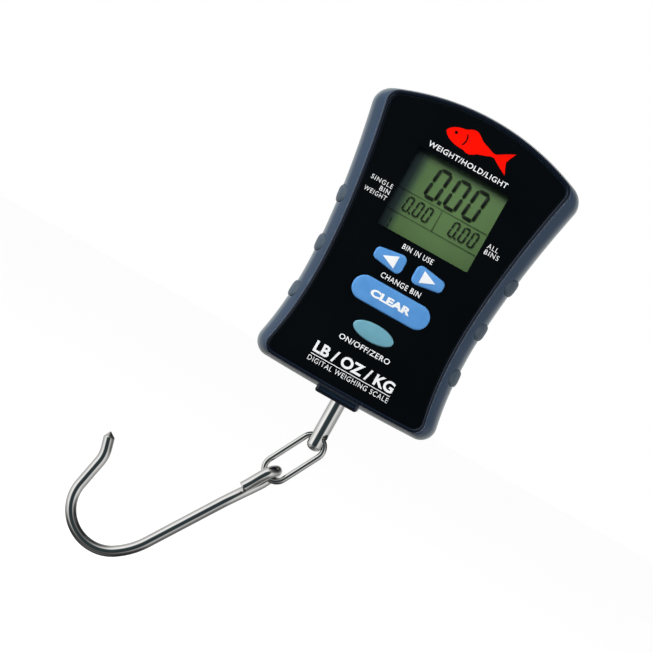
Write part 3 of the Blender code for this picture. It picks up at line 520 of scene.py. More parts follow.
def casing_material():
    look = Look("casing_look", 0.34)
    cloud = look.noise(60, 5.0)
    # Raised edges, found by pointiness, are painted lighter as a painted highlight; the rest keeps the darker
    # moulded colour.
    pointiness = look.node("NewGeometry").outputs["Pointiness"]
    edge = look.ramp(pointiness, ((0.495, 0.0), (0.56, 1.0)))
    body_tone = look.ramp(cloud, ((0.3, (0.0120, 0.0275, 0.0540)), (0.7, (0.0145, 0.0320, 0.0620))))
    painted_edge_highlight = look.mix(edge, body_tone, (0.028, 0.052, 0.090, 1.0))
    # Towards a glancing view the colour is mixed to grey, a painted sheen for the reflection along the far edge of
    # each flank.
    facing = look.node("LayerWeight", {"Blend": 0.5}).outputs["Facing"]
    grazing_sheen = look.ramp(facing, ((0.6, 0.0), (0.98, 1.0)))
    look.surface({
        "Base Color": look.mix(grazing_sheen, painted_edge_highlight, (0.125, 0.155, 0.160, 1.0)),
        "Roughness": look.ramp(cloud, ((0.25, 0.30), (0.8, 0.38)))})
    return look.grain(2600, strength=0.18, depth=0.00003, detail=3.0, rough=0.6)


casing = casing_material()

# The bead around the face is glossier and is painted darker as painted shade; the crease at its foot gets a bright
# painted highlight line.
bead_shade_look = Look("casing_bead_shade_look", 0.24)
bead_shade_look.tint((0.0030, 0.0062, 0.0135), (0.0040, 0.0080, 0.0170), scale=60, detail=5.0)
bead_shade_look.gloss(0.20, 0.28, scale=160, detail=5.0, span=(0.25, 0.8))
bead_shade_look.grain(2600, strength=0.1, depth=0.00002, detail=3.0, rough=0.6)
crease_highlight_look = moulded("casing_crease_highlight_look", (0.13, 0.18, 0.27), 0.22, grain=2600,
                      strength=0.12, vary=0.1)

rubber = Look("grip_rubber_look", 0.6)
rubber.tint((0.036, 0.052, 0.070), (0.045, 0.064, 0.085), scale=140)
rubber.gloss(0.48, 0.62, scale=400)
rubber.grain(3800, strength=0.4, depth=0.00003, detail=3.0, rough=0.65)

overlay_film = Look("overlay_film_look", 0.16)
overlay_film.tint((0.0010, 0.0013, 0.0017), (0.0016, 0.0020, 0.0026), scale=50)
overlay_film.gloss(0.10, 0.17, scale=120, detail=6.0, rough=0.7)
overlay_film.grain(900, strength=0.06, depth=0.00002)


def printed(name, color, vary):
    return moulded(name, color, 0.5, grain=7000, depth=0.00001, strength=0.2, vary=vary)


print_white = printed("print_white_look", (0.86, 0.87, 0.88), vary=0.05)
print_red = printed("print_red_look", (0.88, 0.004, 0.0), vary=0.07)
print_red.surface({"Specular IOR Level": 0.12})


def key_material(name, roughness, dark, light, gloss):
    look = Look(name, roughness)
    look.tint(dark, light, scale=260)
    look.gloss(*gloss, scale=600)
    look.grain(4200, strength=0.2, depth=0.00002)
    return look.surface({
        "Subsurface Weight": 0.12, "Subsurface Radius": (0.0006, 0.001, 0.0016)})


blue_key = key_material("blue_key_look", 0.42, dark=(0.085, 0.268, 0.60),
                        light=(0.105, 0.312, 0.665), gloss=(0.36, 0.48))
teal_key = key_material("teal_key_look", 0.38, dark=(0.135, 0.335, 0.42),
                        light=(0.165, 0.385, 0.475), gloss=(0.32, 0.44))

stainless = metal("stainless_look", (0.86, 0.855, 0.84), 0.075, stretch=(60, 260, 1),
                  strength=0.05, depth=0.000004, kind="UV")
zinc = metal("zinc_plate_look", (0.58, 0.59, 0.61), 0.34, stretch=(700, 700, 700), strength=0.3)
nickel = metal("contact_steel_look", (0.72, 0.71, 0.69), 0.24, stretch=(900, 900, 120),
               strength=0.25)
alloy = metal("cell_alloy_look", (0.76, 0.77, 0.79), 0.3, stretch=(1500, 1500, 60), strength=0.3)
black_plastic = moulded("black_plastic_look", (0.012, 0.0125, 0.0145), 0.42,
                        grain=3400, depth=0.00003, strength=0.3)
chip_plastic = moulded("chip_look", (0.02, 0.02, 0.021), 0.55, grain=6000, strength=0.4)
diffuser = moulded("light_guide_look", (0.78, 0.8, 0.8), 0.35, grain=3000, strength=0.15,
                   vary=0.03)
board_look = moulded("board_look", (0.012, 0.13, 0.045), 0.32, grain=2600, depth=0.00003,
                     strength=0.35, vary=0.2)
film_look = moulded("gauge_film_look", (0.48, 0.2, 0.03), 0.28, strength=0.2, vary=0.15)
red_wire = moulded("red_wire_look", (0.48, 0.02, 0.016), 0.38, grain=3000, strength=0.2)
grey_wire = moulded("grey_wire_look", (0.2, 0.2, 0.215), 0.42, grain=3000, strength=0.2)
cord_rubber = moulded("gasket_look", (0.018, 0.018, 0.019), 0.75, grain=2500, depth=0.00003,
                      strength=0.4)

# Shade of the window frame on the display: axis, its range, and (position, colour) stops.
FRAME_SHADE = (
    ("X", -18.6, -11.0, (
        (0.0, (0.15, 0.135, 0.36)), (0.31, (0.17, 0.15, 0.40)), (0.53, (0.46, 0.46, 0.72)),
        (0.72, (0.84, 0.85, 0.95)), (0.86, (1.0, 1.0, 1.0)))),
    ("Z", 30.5, 36.5, (
        (0.0, (1.0, 1.0, 1.0)), (0.36, (0.90, 0.90, 0.90)), (0.70, (0.42, 0.42, 0.50)),
        (1.0, (0.20, 0.20, 0.30)))))


def in_shade(look, color):
    """Darken a colour where the recessed window frame shades it: at its left and its top."""
    position = look.node("TexCoord").outputs["Object"]
    spot = look.node("SeparateXYZ", {0: position})
    for axis, low, high, stops in FRAME_SHADE:
        along = look.node("MapRange", {
            "From Min": low * MM, "From Max": high * MM, "Value": spot.outputs[axis]})
        shadow = look.ramp(along.outputs["Result"], stops)
        color = look.mix(1.0, color, shadow, "MULTIPLY")
    look.surface({"Base Color": color})


lcd_film = Look("lcd_film_look", 0.34)
in_shade(lcd_film, lcd_film.clouds((0.113, 0.200, 0.076), (0.127, 0.221, 0.086), scale=38,
                                   detail=3.0, span=(0.3, 0.75)))
lcd_film.gloss(0.3, 0.42, scale=300)
lcd_film.grain(6500, strength=0.18, depth=0.000015)
segment_ink = moulded("segment_look", (0.0085, 0.0125, 0.0075), 0.4, depth=0.00001,
                      strength=0.1, vary=0.1)
# Painted shadow of the figures on the reflector, darkened further by the painted frame shade.
figure_shadow_paint = Look("segment_shadow_look", 0.5)
in_shade(figure_shadow_paint, figure_shadow_paint.clouds((0.080, 0.142, 0.054), (0.089, 0.155, 0.060), scale=500,
                                     detail=3.0, span=(0.3, 0.75)))


def pane_material():
    """Clear sheet that lets light straight through, with a faint dusty reflection."""
    look = Graph(bpy.data.materials.new("clear_pane_look"))
    look.nodes.remove(look.nodes["Principled BSDF"])
    clear = look.node("BsdfTransparent", {"Color": (0.985, 0.99, 0.985, 1)})
    gloss = look.node("BsdfGlossy", {"Color": (0.9, 0.92, 0.92, 1), "Roughness": 0.05})
    fresnel = look.node("Fresnel", {"IOR": 1.38})
    position = look.node("TexCoord").outputs["Object"]
    dust = look.node("TexNoise", {"Scale": 700, "Detail": 5, "Vector": position})
    rough = look.node("MapRange", {"To Min": 0.02, "To Max": 0.09, "Value": dust.outputs["Fac"]})
    look.set(gloss, {"Roughness": rough.outputs["Result"]})
    # Rays aren't bent on the way in, so only the outer face mirrors; the way out would
    # mirror everything past 46 degrees. Sockets 2 and 3 are the float A and B.
    side = look.node("NewGeometry")
    gate = look.node("Mix", {
        0: side.outputs["Backfacing"], 2: fresnel.outputs["Fac"], 3: 0.0}, data_type="FLOAT")
    mixed = look.node("MixShader", {
        "Fac": gate.outputs[0], 1: clear.outputs["BSDF"], 2: gloss.outputs["BSDF"]})
    look.set(look.nodes["Material Output"], {"Surface": mixed.outputs["Shader"]})
    return look


pane = pane_material()


def cell_wrap_material():
    """Printed wrap of the cells: bands of colour along X."""
    look = Look("cell_wrap_look", 0.28)
    position = look.node("TexCoord").outputs["Object"]
    mapping = look.node("Mapping", {"Scale": (1, 1, 1), "Vector": position})
    split = look.node("SeparateXYZ", {0: mapping.outputs["Vector"]})
    along = look.node("MapRange", {
        "From Min": -0.024, "From Max": 0.024, "Value": split.outputs["X"]})
    look.surface({"Base Color": look.ramp(along.outputs["Result"], (
        (0.0, (0.5, 0.49, 0.47)), (0.085, (0.5, 0.49, 0.47)), (0.086, (0.02, 0.045, 0.11)),
        (0.70, (0.03, 0.06, 0.14)), (0.705, (0.62, 0.30, 0.10)), (0.93, (0.60, 0.28, 0.09))))})
    look.gloss(0.2, 0.34, scale=300)
    return look.grain(2600, strength=0.1, depth=0.00002)


cell_wrap = cell_wrap_material()

# ---- key outlines -----------------------------------------------------------------
ARROW_X, ARROW_Z = 8.2, -5.1
DELETE_Z = -18.8
POWER_Z = -31.9
# Corner of the right arrow key from (0, ARROW_Z), and its rounding.
ARROW_CORNERS = (((2.15, -4.1), 2.2), ((14.35, -2.2), 1.9), ((14.35, 2.2), 1.9), ((2.15, 4.1), 2.2))


def arrow_key(side, grow=0.0, steps=10):
    """Rounded trapezium that narrows outward; side is -1 for left and 1 for right."""
    points = []
    for i, (corner, radius) in enumerate(ARROW_CORNERS):
        here = Vector(corner)
        back = (Vector(ARROW_CORNERS[i - 1][0]) - here).normalized()
        ahead = (Vector(ARROW_CORNERS[(i + 1) % 4][0]) - here).normalized()
        half = math.acos(back.dot(ahead)) / 2
        centre = here + (back + ahead).normalized() * (radius / math.sin(half))
        touch = centre + Vector((back.y, -back.x)) * radius
        start = math.atan2(touch.y - centre.y, touch.x - centre.x)
        sweep = math.pi - 2 * half
        if (here - centre).dot(touch - centre) < 0:
            start += math.pi
        for k in range(steps + 1):
            angle = start + sweep * k / steps
            points.append((centre.x + radius * math.cos(angle),
                           centre.y + radius * math.sin(angle)))
    if grow:
        points = inset(points, -grow)
    points = [(side * x, ARROW_Z + z) for x, z in points]
    return points if side > 0 else points[::-1]


def delete_key(grow=0.0):
    return rounded(31.6 + 2 * grow, 9.5 + 2 * grow, 4.74 + grow, 0, DELETE_Z, 16)


def power_key(grow=0.0, count=96):
    across, up = 8.25 + grow, 3.45 + grow
    angles = [2 * math.pi * i / count for i in range(count)]
    return [(across * math.cos(angle), POWER_Z + up * math.sin(angle)) for angle in angles]


# name: outline, centre, look, slot, height of the dome
KEYS = {
    "left": (lambda grow=0.0: arrow_key(-1, grow), (-ARROW_X, ARROW_Z), blue_key, "key_blue", 0.2),
    "right": (lambda grow=0.0: arrow_key(1, grow), (ARROW_X, ARROW_Z), blue_key, "key_blue", 0.2),
    "delete": (delete_key, (0.0, DELETE_Z), blue_key, "key_blue", 0.22),
    "power": (power_key, (0.0, POWER_Z), teal_key, "key_teal", 0.23),
}


def key_holes(grow, y_from, y_to):
    holes = bmesh.new()
    for key_outline, *_ in KEYS.values():
        prism(key_outline(grow), y_from, y_to, holes)
    return holes


# ---- grip pads and their pockets --------------------------------------------------
PAD_Z = (7.6, -12.0, -31.5)
PAD_FRONT_Y, PAD_REAR_Y = -26.75, -3.6
PAD_MID_Y = (PAD_FRONT_Y + PAD_REAR_Y) / 2
PAD_HALF = 3.35
PAD_PROUD = 0.9
PAD_PLAY = 0.1


def pad_rows(steps):
    """The pad's (y, half height, stand-off) along its length, with rounded ends."""
    rows = []
    for i in range(steps + 1):
        share = -1 + 2 * i / steps
        y = PAD_MID_Y + (PAD_REAR_Y - PAD_FRONT_Y) / 2 * math.sin(math.pi / 2 * share)
        grow = min(1.0, (y - PAD_FRONT_Y) / PAD_HALF, (PAD_REAR_Y - y) / PAD_HALF)
        round_end = math.sqrt(max(0.0, 1 - (1 - grow) ** 2))
        proud = PAD_PROUD * min(1.0, round_end * 1.05) ** 1.3
        rows.append((y, max(0.35, PAD_HALF * round_end), proud))
    return rows


def on_flank(sign, y, middle, half, section):
    """(outward, share of the half height) points laid on a flank of the case."""
    return [(sign * (side_at(side_inset(y), middle + half * share) + out), y,
             middle + half * share) for out, share in section]


def pad(sign, middle, around=22, base=-0.95):
    sections = []
    for y, half, proud in pad_rows(46):
        section = [(base, 1.0)]
        for k in range(around + 1):
            share = 1 - 2 * k / around
            share = math.copysign(abs(math.sin(math.pi / 2 * share)), share)
            rise = (1 - abs(share) ** 3.0) ** (1 / 2.2) if abs(share) < 1 else 0.0
            section.append((-0.35 + (proud + 0.35) * rise, share))
        section.append((base, -1.0))
        sections.append(on_flank(sign, y, middle, half, section))
    return loft(sections)


def pad_pocket(sign, middle, floor_out=-1.25, clear_out=2.6):
    section = [(floor_out, 1.0)] + [(clear_out, k / 4) for k in range(4, -5, -1)]
    section.append((floor_out, -1.0))
    stretch = 1 + PAD_PLAY / 11.6
    return loft([
        on_flank(sign, PAD_MID_Y + (y - PAD_MID_Y) * stretch, middle, half + PAD_PLAY, section)
        for y, half, _ in pad_rows(30)])


def pockets():
    return [(CUT, pad_pocket(sign, middle)) for sign in (-1, 1) for middle in PAD_Z]


# ---- boss under the case, split between the shells --------------------------------
BOSS_FOOT = -60.7
BOSS_ROUND = 1.0
BOSS = (
    [(-9.0, -57.2), (-8.95, -59.5)]
    + arc(-7.95, BOSS_FOOT + BOSS_ROUND, BOSS_ROUND, 180, 270, 9)
    + arc(7.45, BOSS_FOOT + BOSS_ROUND, BOSS_ROUND, -90, 0, 9)
    + [(8.5, -59.5), (8.55, -57.2)])
# (y, drawn in) levels of each half.
FRONT_BOSS = ((-26.45, 1.25), (-26.4, 0.95), (-26.2, 0.6), (-25.9, 0.3), (-25.5, 0.1),
              (-25.0, 0.0), (-14.3, 0.0), (-14.15, 0.1))
REAR_BOSS = ((-13.85, 0.1), (-13.7, 0.0), (-5.5, 0.0), (-4.9, 0.1), (-4.4, 0.4), (-4.1, 0.8),
             (-4.0, 1.2))


def boss(levels):
    return loft([[(x * (1 - drawn / 9), y, z if z > -58 else z + drawn) for x, z in BOSS]
                 for y, drawn in levels])


def boss_opening():
    return box((-7.6, 7.6), (-19.0, -6.0), (-62, -52))


# ---- front shell ------------------------------------------------------------------
CREASE = FRONT_KEYS[0][1:]
# Bead around the face: (drawn in from the crease, y).
BEAD = ((1.62, FLOOR_Y), (1.6, -29.85), (1.52, -30.12), (1.36, -30.36), (1.12, -30.53),
        (0.84, RIM_Y), (0.58, -30.57), (0.36, -30.44), (0.2, -30.24), (0.1, -30.0),
        (0.04, -29.75))


def inside_crease(y, drawn):
    """A ring drawn in from the crease around the face."""
    side, top, bottom, top_radius, bottom_radius = CREASE
    return ring(y, side + drawn, top + drawn, bottom + drawn,
                max(0.8, top_radius - 0.75 * drawn), max(0.8, bottom_radius - 0.7 * drawn))


def front_tools():
    pillars = rods(CASE_SCREWS, 3.3, (FRONT_IN_Y - 0.6, PART_Y - 0.3), 32)
    rods(INNER_POSTS, 2.1, (FRONT_IN_Y - 0.6, -21.6), 24, pillars)
    pilots = rods(CASE_SCREWS, 1.75, (-24.5, -13), 24)
    rods(INNER_POSTS, 1.1, (-26.2, -20), 16, pilots)
    window = rounded(WINDOW[0] + 0.5, WINDOW[1] + 0.5, 0.9, 0, WINDOW_Z)
    pane_seat = rounded(43.2, 37.2, 1.2, 0, WINDOW_Z)
    return [
        (ADD, pillars),
        (ADD, boss(FRONT_BOSS)),
        (CUT, prism(window, -32, -25)),
        (CUT, prism(pane_seat, -28.5, -25)),
        (CUT, key_holes(0.28, -32, -25)),
        (CUT, pilots),
        (CUT, boss_opening()),
    ] + pockets()


def front_shell():
    rings = [inside_crease(y, drawn) for drawn, y in BEAD]
    rings += [ring(*row) for row in FRONT_CURVE]
    rings += [
        ring(PART_Y - PART_GAP, WALL, WALL, WALL, 5.0, 3.5),
        ring(-21.0, 2.9, 2.4, 2.5, 4.7, 3.3),
        ring(-24.5, 4.2, 2.7, 2.9, 4.2, 3.1),
        ring(FRONT_IN_Y, 5.6, 3.2, 3.4, 3.5, 2.8)]
    mesh = place("front_shell", loft(rings), casing, 32, replaces="front_case",
                 tools=front_tools()).data
    mesh.materials.append(bead_shade_look.owner)
    mesh.materials.append(crease_highlight_look.owner)
    # Bead faces take the painted-shade material and the outward faces at the crease take the painted highlight
    # line; the underside of the boss, below z -59, also takes the painted shade.
    for face in mesh.polygons:
        x, y, z = (part / MM for part in face.center)
        if -31 < y < FLOOR_Y and abs(x) < 45 and z > -58.6:
            outward = face.normal.x * x / 40 + face.normal.z * z / 58 > 0
            face.material_index = 2 if outward and y > -30.12 else 1
        elif z < -59.0:
            face.material_index = 1


front_shell()
for sign, side in ((-1, "left"), (1, "right")):
    for i, middle in enumerate(PAD_Z, 1):
        place(f"pad_{side}_{i}", pad(sign, middle), rubber, 60,
              replaces=f"grip_pad_{side}_{i}")

# ---- rear shell and battery door --------------------------------------------------
BAY_HALF, BAY_LOW, BAY_HIGH = 25.6, 17.3, 41.1
BAY_WALL = 1.3
HINGE = joint_at("door_open")
# (radius, y) of the stepped bore for a case screw.
SCREW_BORE = ((1.75, -16), (1.75, -7.9), (3.0, -7.9), (3.0, -0.35), (3.35, 0.0), (3.35, 2))


def along_hinge(profile, sides, lower_y=0.0):
    """A (radius, x) profile turned about the hinge line."""
    return turned(profile, (0, HINGE.y - lower_y, HINGE.z), "X", sides)


def rear_tools():
    posts = rods(CASE_SCREWS, 4.2, (PART_Y + PART_GAP, -1.2), 40)
    rods(((-18.0, -4.0), (18.0, -4.0)), 2.8, (-5.2, -1.4), 24, posts)
    bores = bmesh.new()
    for x, z in CASE_SCREWS:
        turned(SCREW_BORE, (x, 0, z), "Y", 48, bores)
    bay_wall = box((-BAY_HALF - BAY_WALL, BAY_HALF + BAY_WALL), (-14.6, -1.2),
                   (BAY_LOW - BAY_WALL, BAY_HIGH + BAY_WALL))
    door_seat = rounded(56.0, 28.6, 1.4, 0, 29.3, 8)
    catch_seat = rounded(10.8, 7.4, 1.2, 0, 41.5, 8)
    lead_holes = rods(((-24.2, 39.4), (-24.2, 19.0)), 1.0, (-16, -12), 20)
    return [
        (ADD, bay_wall),
        (ADD, box((-29.6, 29.6), (-3.6, -1.0), (14.0, 45.8))),
        (ADD, posts),
        (CUT, box((-BAY_HALF, BAY_HALF), (-13.3, 2), (BAY_LOW, BAY_HIGH))),
        (CUT, prism(door_seat, -1.7, 2)),
        (CUT, prism(catch_seat, -2.3, 2)),
        (CUT, along_hinge([(1.5, -20.3), (1.5, 20.3)], 40)),
        (CUT, box((-27.95, 27.95), (HINGE.y, 2), (14.3, 15.6))),
        (CUT, along_hinge([(0.9, -21.8), (0.9, 21.8)], 24, lower_y=0.02)),
        (CUT, bores),
        (CUT, lead_holes),
        (ADD, boss(REAR_BOSS)),
        (CUT, boss_opening()),
    ] + pockets()


def rear_shell():
    rings = [
        ring(-2.2, 5.2, 5.2, 5.2, 3.8, 3.0),
        ring(-5.0, 3.3, 3.3, 3.3, 4.6, 3.4),
        ring(PART_Y + PART_GAP, WALL, WALL, WALL, 5.0, 3.5)]
    rings += [ring(*row) for row in REAR_CURVE]
    place("rear_shell", loft(rings), casing, 32, replaces="rear_case",
          tools=rear_tools())


def grip_grooves():
    """Four tapered grooves across the door, the longest nearest its free edge."""
    grooves = bmesh.new()
    for i in range(4):
        z = 36.4 + 1.7 * i
        half = 6.6 - 0.5 * (3 - i)
        loft([[(-half, 0.3, z + edge * 0.55), (half, 0.3, z + edge * 0.55),
               (half - 0.3, -0.48, z + edge * 0.18), (-half + 0.3, -0.48, z + edge * 0.18)]
              for edge in (-1, 1)], grooves)
    return grooves


def battery_door():
    leaf = eased_prism(rounded(55.4, 26.9, 1.2, 0, HINGE.z + 13.75, 10), -1.4, -0.1, 0.3)
    catch = eased_prism(rounded(9.6, 3.4, 0.6, 0, 43.0, 6), -2.0, -0.1, 0.25)
    place("door_leaf", leaf, casing, 32, "door", "battery_door", [
        (ADD, along_hinge([(1.0, -20.0), (1.1, -19.9), (1.1, 19.9), (1.0, 20.0)], 40)),
        (ADD, box((-19.9, 19.9), (-1.4, -0.1), (HINGE.z, HINGE.z + 2))),
        (ADD, along_hinge([(0.55, -21.4), (0.6, -21.3), (0.6, 21.3), (0.55, 21.4)], 24)),
        (ADD, catch),
        (CUT, grip_grooves())])


rear_shell()
battery_door()

# ---- overlay and its print --------------------------------------------------------
OVERLAY_EASE = 0.16


def panel_ring(y, extra=0.0):
    return ring(y, 7.2 + extra, 2.9 + extra, 3.3 + extra, 3.4 - 0.7 * extra, 2.7 - 0.7 * extra)


def overlay():
    rings = [panel_ring(-29.6), panel_ring(OVERLAY_Y + OVERLAY_EASE)]
    for k in range(1, 5):
        angle = math.pi / 2 * k / 4
        rings.append(panel_ring(OVERLAY_Y + OVERLAY_EASE * (1 - math.sin(angle)),
                                OVERLAY_EASE * (1 - math.cos(angle))))
    place("overlay_panel", loft(rings), overlay_film, 30, replaces="face_overlay",
          tools=[
              (CUT, prism(rounded(*WINDOW, 0.5, 0, WINDOW_Z), -32, -28)),
              (CUT, key_holes(0.22, -32, -28))])


def lettering(name, words, spot, size, weight, spacing=1.0, align="CENTER", body="case",
              y=OVERLAY_Y, thick=0.05):
    """Raised white print: words fitted to a (width, height), reading from the front."""
    curve = bpy.data.curves.new(name, "FONT")
    curve.body = words
    curve.align_x = align
    curve.size = 1.0
    curve.offset = weight
    curve.extrude = 0.5
    curve.space_character = spacing
    curve.resolution_u = 4
    writer = add_object(name + "_curve", curve)
    bpy.context.view_layer.update()
    graph = bpy.context.evaluated_depsgraph_get()
    mesh = bpy.data.meshes.new_from_object(writer.evaluated_get(graph))
    bpy.data.objects.remove(writer)

    across = [vert.co.x for vert in mesh.vertices]
    upward = [vert.co.y for vert in mesh.vertices]
    left, right, low, high = min(across), max(across), min(upward), max(upward)
    anchor = {"CENTER": (left + right) / 2, "LEFT": left, "RIGHT": right}[align]
    (x, z), (width, height) = spot, size
    for vert in mesh.vertices:
        vert.co = Vector((
            x + (vert.co.x - anchor) * width / (right - left),
            y - thick * (vert.co.z + 0.5),
            z + (vert.co.y - (low + high) / 2) * height / (high - low))) * MM
    solid = bmesh.new()
    solid.from_mesh(mesh)
    bmesh.ops.remove_doubles(solid, verts=solid.verts, dist=1e-7)
    bmesh.ops.dissolve_degenerate(solid, edges=solid.edges, dist=1e-7)
    bmesh.ops.recalc_face_normals(solid, faces=solid.faces)
    solid.to_mesh(mesh)
    solid.free()
    mesh.materials.clear()
    mesh.materials.append(print_white.owner)
    mesh.shade_flat()
    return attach(add_object(name, mesh), body)


# name, words, (x, z), (width, height), stroke weight, letter spacing, alignment at x
PRINTS = (
    ("title", "WEIGHT/HOLD/LIGHT", (0, 39.2), (33.0, 2.1), 0.012, 1.1, "CENTER"),
    ("left_1", "SINGLE", (-20.1, 18.45), (8.8, 1.75), 0.0, 1.22, "RIGHT"),
    ("left_2", "BIN", (-20.1, 16.0), (4.0, 1.75), 0.0, 1.22, "RIGHT"),
    ("left_3", "WEIGHT", (-20.1, 13.55), (9.2, 1.75), 0.0, 1.22, "RIGHT"),
    ("right_1", "ALL", (20.8, 16.8), (4.4, 1.85), 0.0, 1.22, "LEFT"),
    ("right_2", "BINS", (20.8, 14.4), (5.9, 1.85), 0.0, 1.22, "LEFT"),
    ("bin", "BIN IN USE", (0, 1.5), (12.6, 2.05), 0.008, 1.12, "CENTER"),
    ("change", "CHANGE BIN", (0, -11.4), (16.4, 2.1), 0.008, 1.12, "CENTER"),
    ("power", "ON/OFF/ZERO", (0, -38.4), (21.0, 2.1), 0.012, 1.1, "CENTER"),
    ("units", "LB / OZ / KG", (0, -46.1), (33.1, 4.4), 0.034, 1.0, "CENTER"),
    ("kind", "DIGITAL WEIGHING SCALE", (0, -50.9), (33.6, 1.95), 0.0, 1.16, "CENTER"),
)
RULE = ((-16.65, -49.02), (-16.65, -49.3), (16.65, -49.3), (16.65, -49.02))
FISH_Z = 46.6
FISH_TAIL = ((10.2, 2.6), (13.6, 4.4), (12.3, 1.6), (11.7, 0.0), (12.3, -1.6), (13.6, -4.4),
             (10.2, -2.6))


def fish_mark():
    """A plain fish drawn as one outline: a lens-shaped body, two fins and a forked tail."""
    top, low = [], []
    for i in range(33):
        share = i / 32
        x = -13.2 + 20.4 * share
        body = 3.55 * math.sin(math.pi * (share ** 0.72)) ** 0.86 if 0 < share < 1 else 0.0
        body = max(body, 0.75 if share > 0.5 else 0.02)
        fin = belly = 0.0
        if 0.30 < share < 0.70:
            fin = 1.5 * max(0.0, math.sin(math.pi * (share - 0.30) / 0.40)) ** 1.4
        if 0.42 < share < 0.70:
            belly = 0.9 * max(0.0, math.sin(math.pi * (share - 0.42) / 0.28)) ** 1.3
        top.append((x, body + fin))
        low.append((x, -body - belly))
    return [(x, z + FISH_Z) for x, z in (*low, *reversed(FISH_TAIL), *reversed(top))]


def emblem():
    """The fish, with its eye and a crescent gill cut through."""
    cuts = rods([(-9.6, 47.4)], 0.62, (-31, -29.5), 24)
    angles = [math.radians(degrees) for degrees in range(-62, 63, 8)]
    gill = [(-6.6 + 1.44 * math.cos(angle), FISH_Z + 2.5 * math.sin(angle)) for angle in angles]
    prism(gill + [(x + 0.55, z) for x, z in reversed(gill)], -31, -29.5, cuts)
    place("emblem_fish", prism(fish_mark(), OVERLAY_Y - 0.06, OVERLAY_Y), print_red, 30,
          tools=[(CUT, cuts)])


overlay()
for name, *settings in PRINTS:
    lettering("print_" + name, *settings)
place("print_rule", eased_prism(RULE, OVERLAY_Y, OVERLAY_Y - 0.05, 0.01, 2), print_white, 30)
emblem()

# ---- display ----------------------------------------------------------------------
LCD_LOW, LCD_HIGH = node_box("lcd_panel")
PANE_LOW, PANE_HIGH = node_box("lcd_window")
INK = 0.04
FIGURE_LEAN = math.tan(math.radians(6.0))
# Ends of the six bars of a zero, as (x, z) shares of its width and height.
ZERO_BARS = (((0, 1), (1, 1)), ((1, 1), (1, 0.5)), ((1, 0.5), (1, 0)), ((0, 0), (1, 0)),
             ((0, 0.5), (0, 0)), ((0, 1), (0, 0.5)))


def segment_bar(solid, start, end, thick, base_z, y, gap):
    """One display segment: a bar with pointed ends, leaning with its figure."""
    start, end = Vector(start), Vector(end)
    along = (end - start).normalized()
    side = Vector((-along.y, along.x)) * thick / 2
    start, end = start + along * gap, end - along * gap
    tip = along * thick / 2
    points = [start, start + tip + side, end - tip + side, end, end - tip - side,
              start + tip - side]
    leaning = [(point.x + (point.y - base_z) * FIGURE_LEAN, point.y) for point in points]
    prism(leaning, y, y - INK, solid)


def zero(solid, x, z, width, height, thick, y):
    """A seven-segment zero; x, z is its lower left corner."""
    half, wide, tall = thick / 2, width - thick, height - thick
    for bar in ZERO_BARS:
        start, end = ((x + half + right * wide, z + half + up * tall) for right, up in bar)
        segment_bar(solid, start, end, thick, z, y, thick * 0.09)


def display_ink(y, right=0.0, up=0.0):
    """Every figure, point and line of the display at a depth, shifted by (right, up)."""
    solid = bmesh.new()

    def point(corners, start=0.0):
        prism([(start + x + right, z + up) for x, z in corners], y - INK, y, solid)

    for x in (-9.57, -1.51, 6.19):
        zero(solid, x + right, 21.1 + up, 5.65, 12.6, 1.25, y)
    point([(-3.35, 21.15), (-1.95, 21.15), (-1.8, 22.6), (-3.2, 22.6)])
    for start in (-13.88, 5.37):
        for x in (0.0, 4.17, 8.0):
            zero(solid, start + x + right, 12.8 + up, 2.74, 6.2, 0.64, y)
        point([(3.1, 12.8), (3.85, 12.8), (3.92, 13.55), (3.17, 13.55)], start)
    for z in (7.95, 5.85):
        x = -15.1 + right
        segment_bar(solid, (x, z + 0.95 + up), (x, z - 0.95 + up), 0.42, z, y, 0.04)
    for z in (20.1, 11.3):
        box((-18.6 + right, 18.6 + right), (y - INK, y), (z - 0.1 + up, z + 0.1 + up), solid)
    box((-0.1 + right, 0.1 + right), (y - INK, y), (11.45 + up, 19.95 + up), solid)
    return solid


place("lcd_glass",
      eased_prism(rounded(45.0, 37.4, 0.3, 0, WINDOW_Z, 3), LCD_HIGH.y, LCD_LOW.y, 0.12, 2),
      lcd_film, 30, replaces="lcd_panel")
place("display_pane",
      eased_prism(rounded(42.6, 36.6, 1.0, 0, WINDOW_Z, 8), PANE_HIGH.y, PANE_LOW.y, 0.12, 3),
      pane, 30, replaces="lcd_window")
place("display_figures", display_ink(LCD_LOW.y - 0.005), segment_ink, 0)
# Every figure casts a faint shadow down and right on the reflector behind the glass; it is painted as a dark copy
# of the figures.
place("display_shadows", display_ink(LCD_LOW.y + 0.015, 0.32, -0.32), figure_shadow_paint, 0)

# ---- keys -------------------------------------------------------------------------
KEY_EASE = 0.62
KEY_SHOULDER, KEY_RIM = 0.85, 0.23  # depths behind the foremost point of the key
DOMES = {}  # name: rim y, crown, centre, rim points


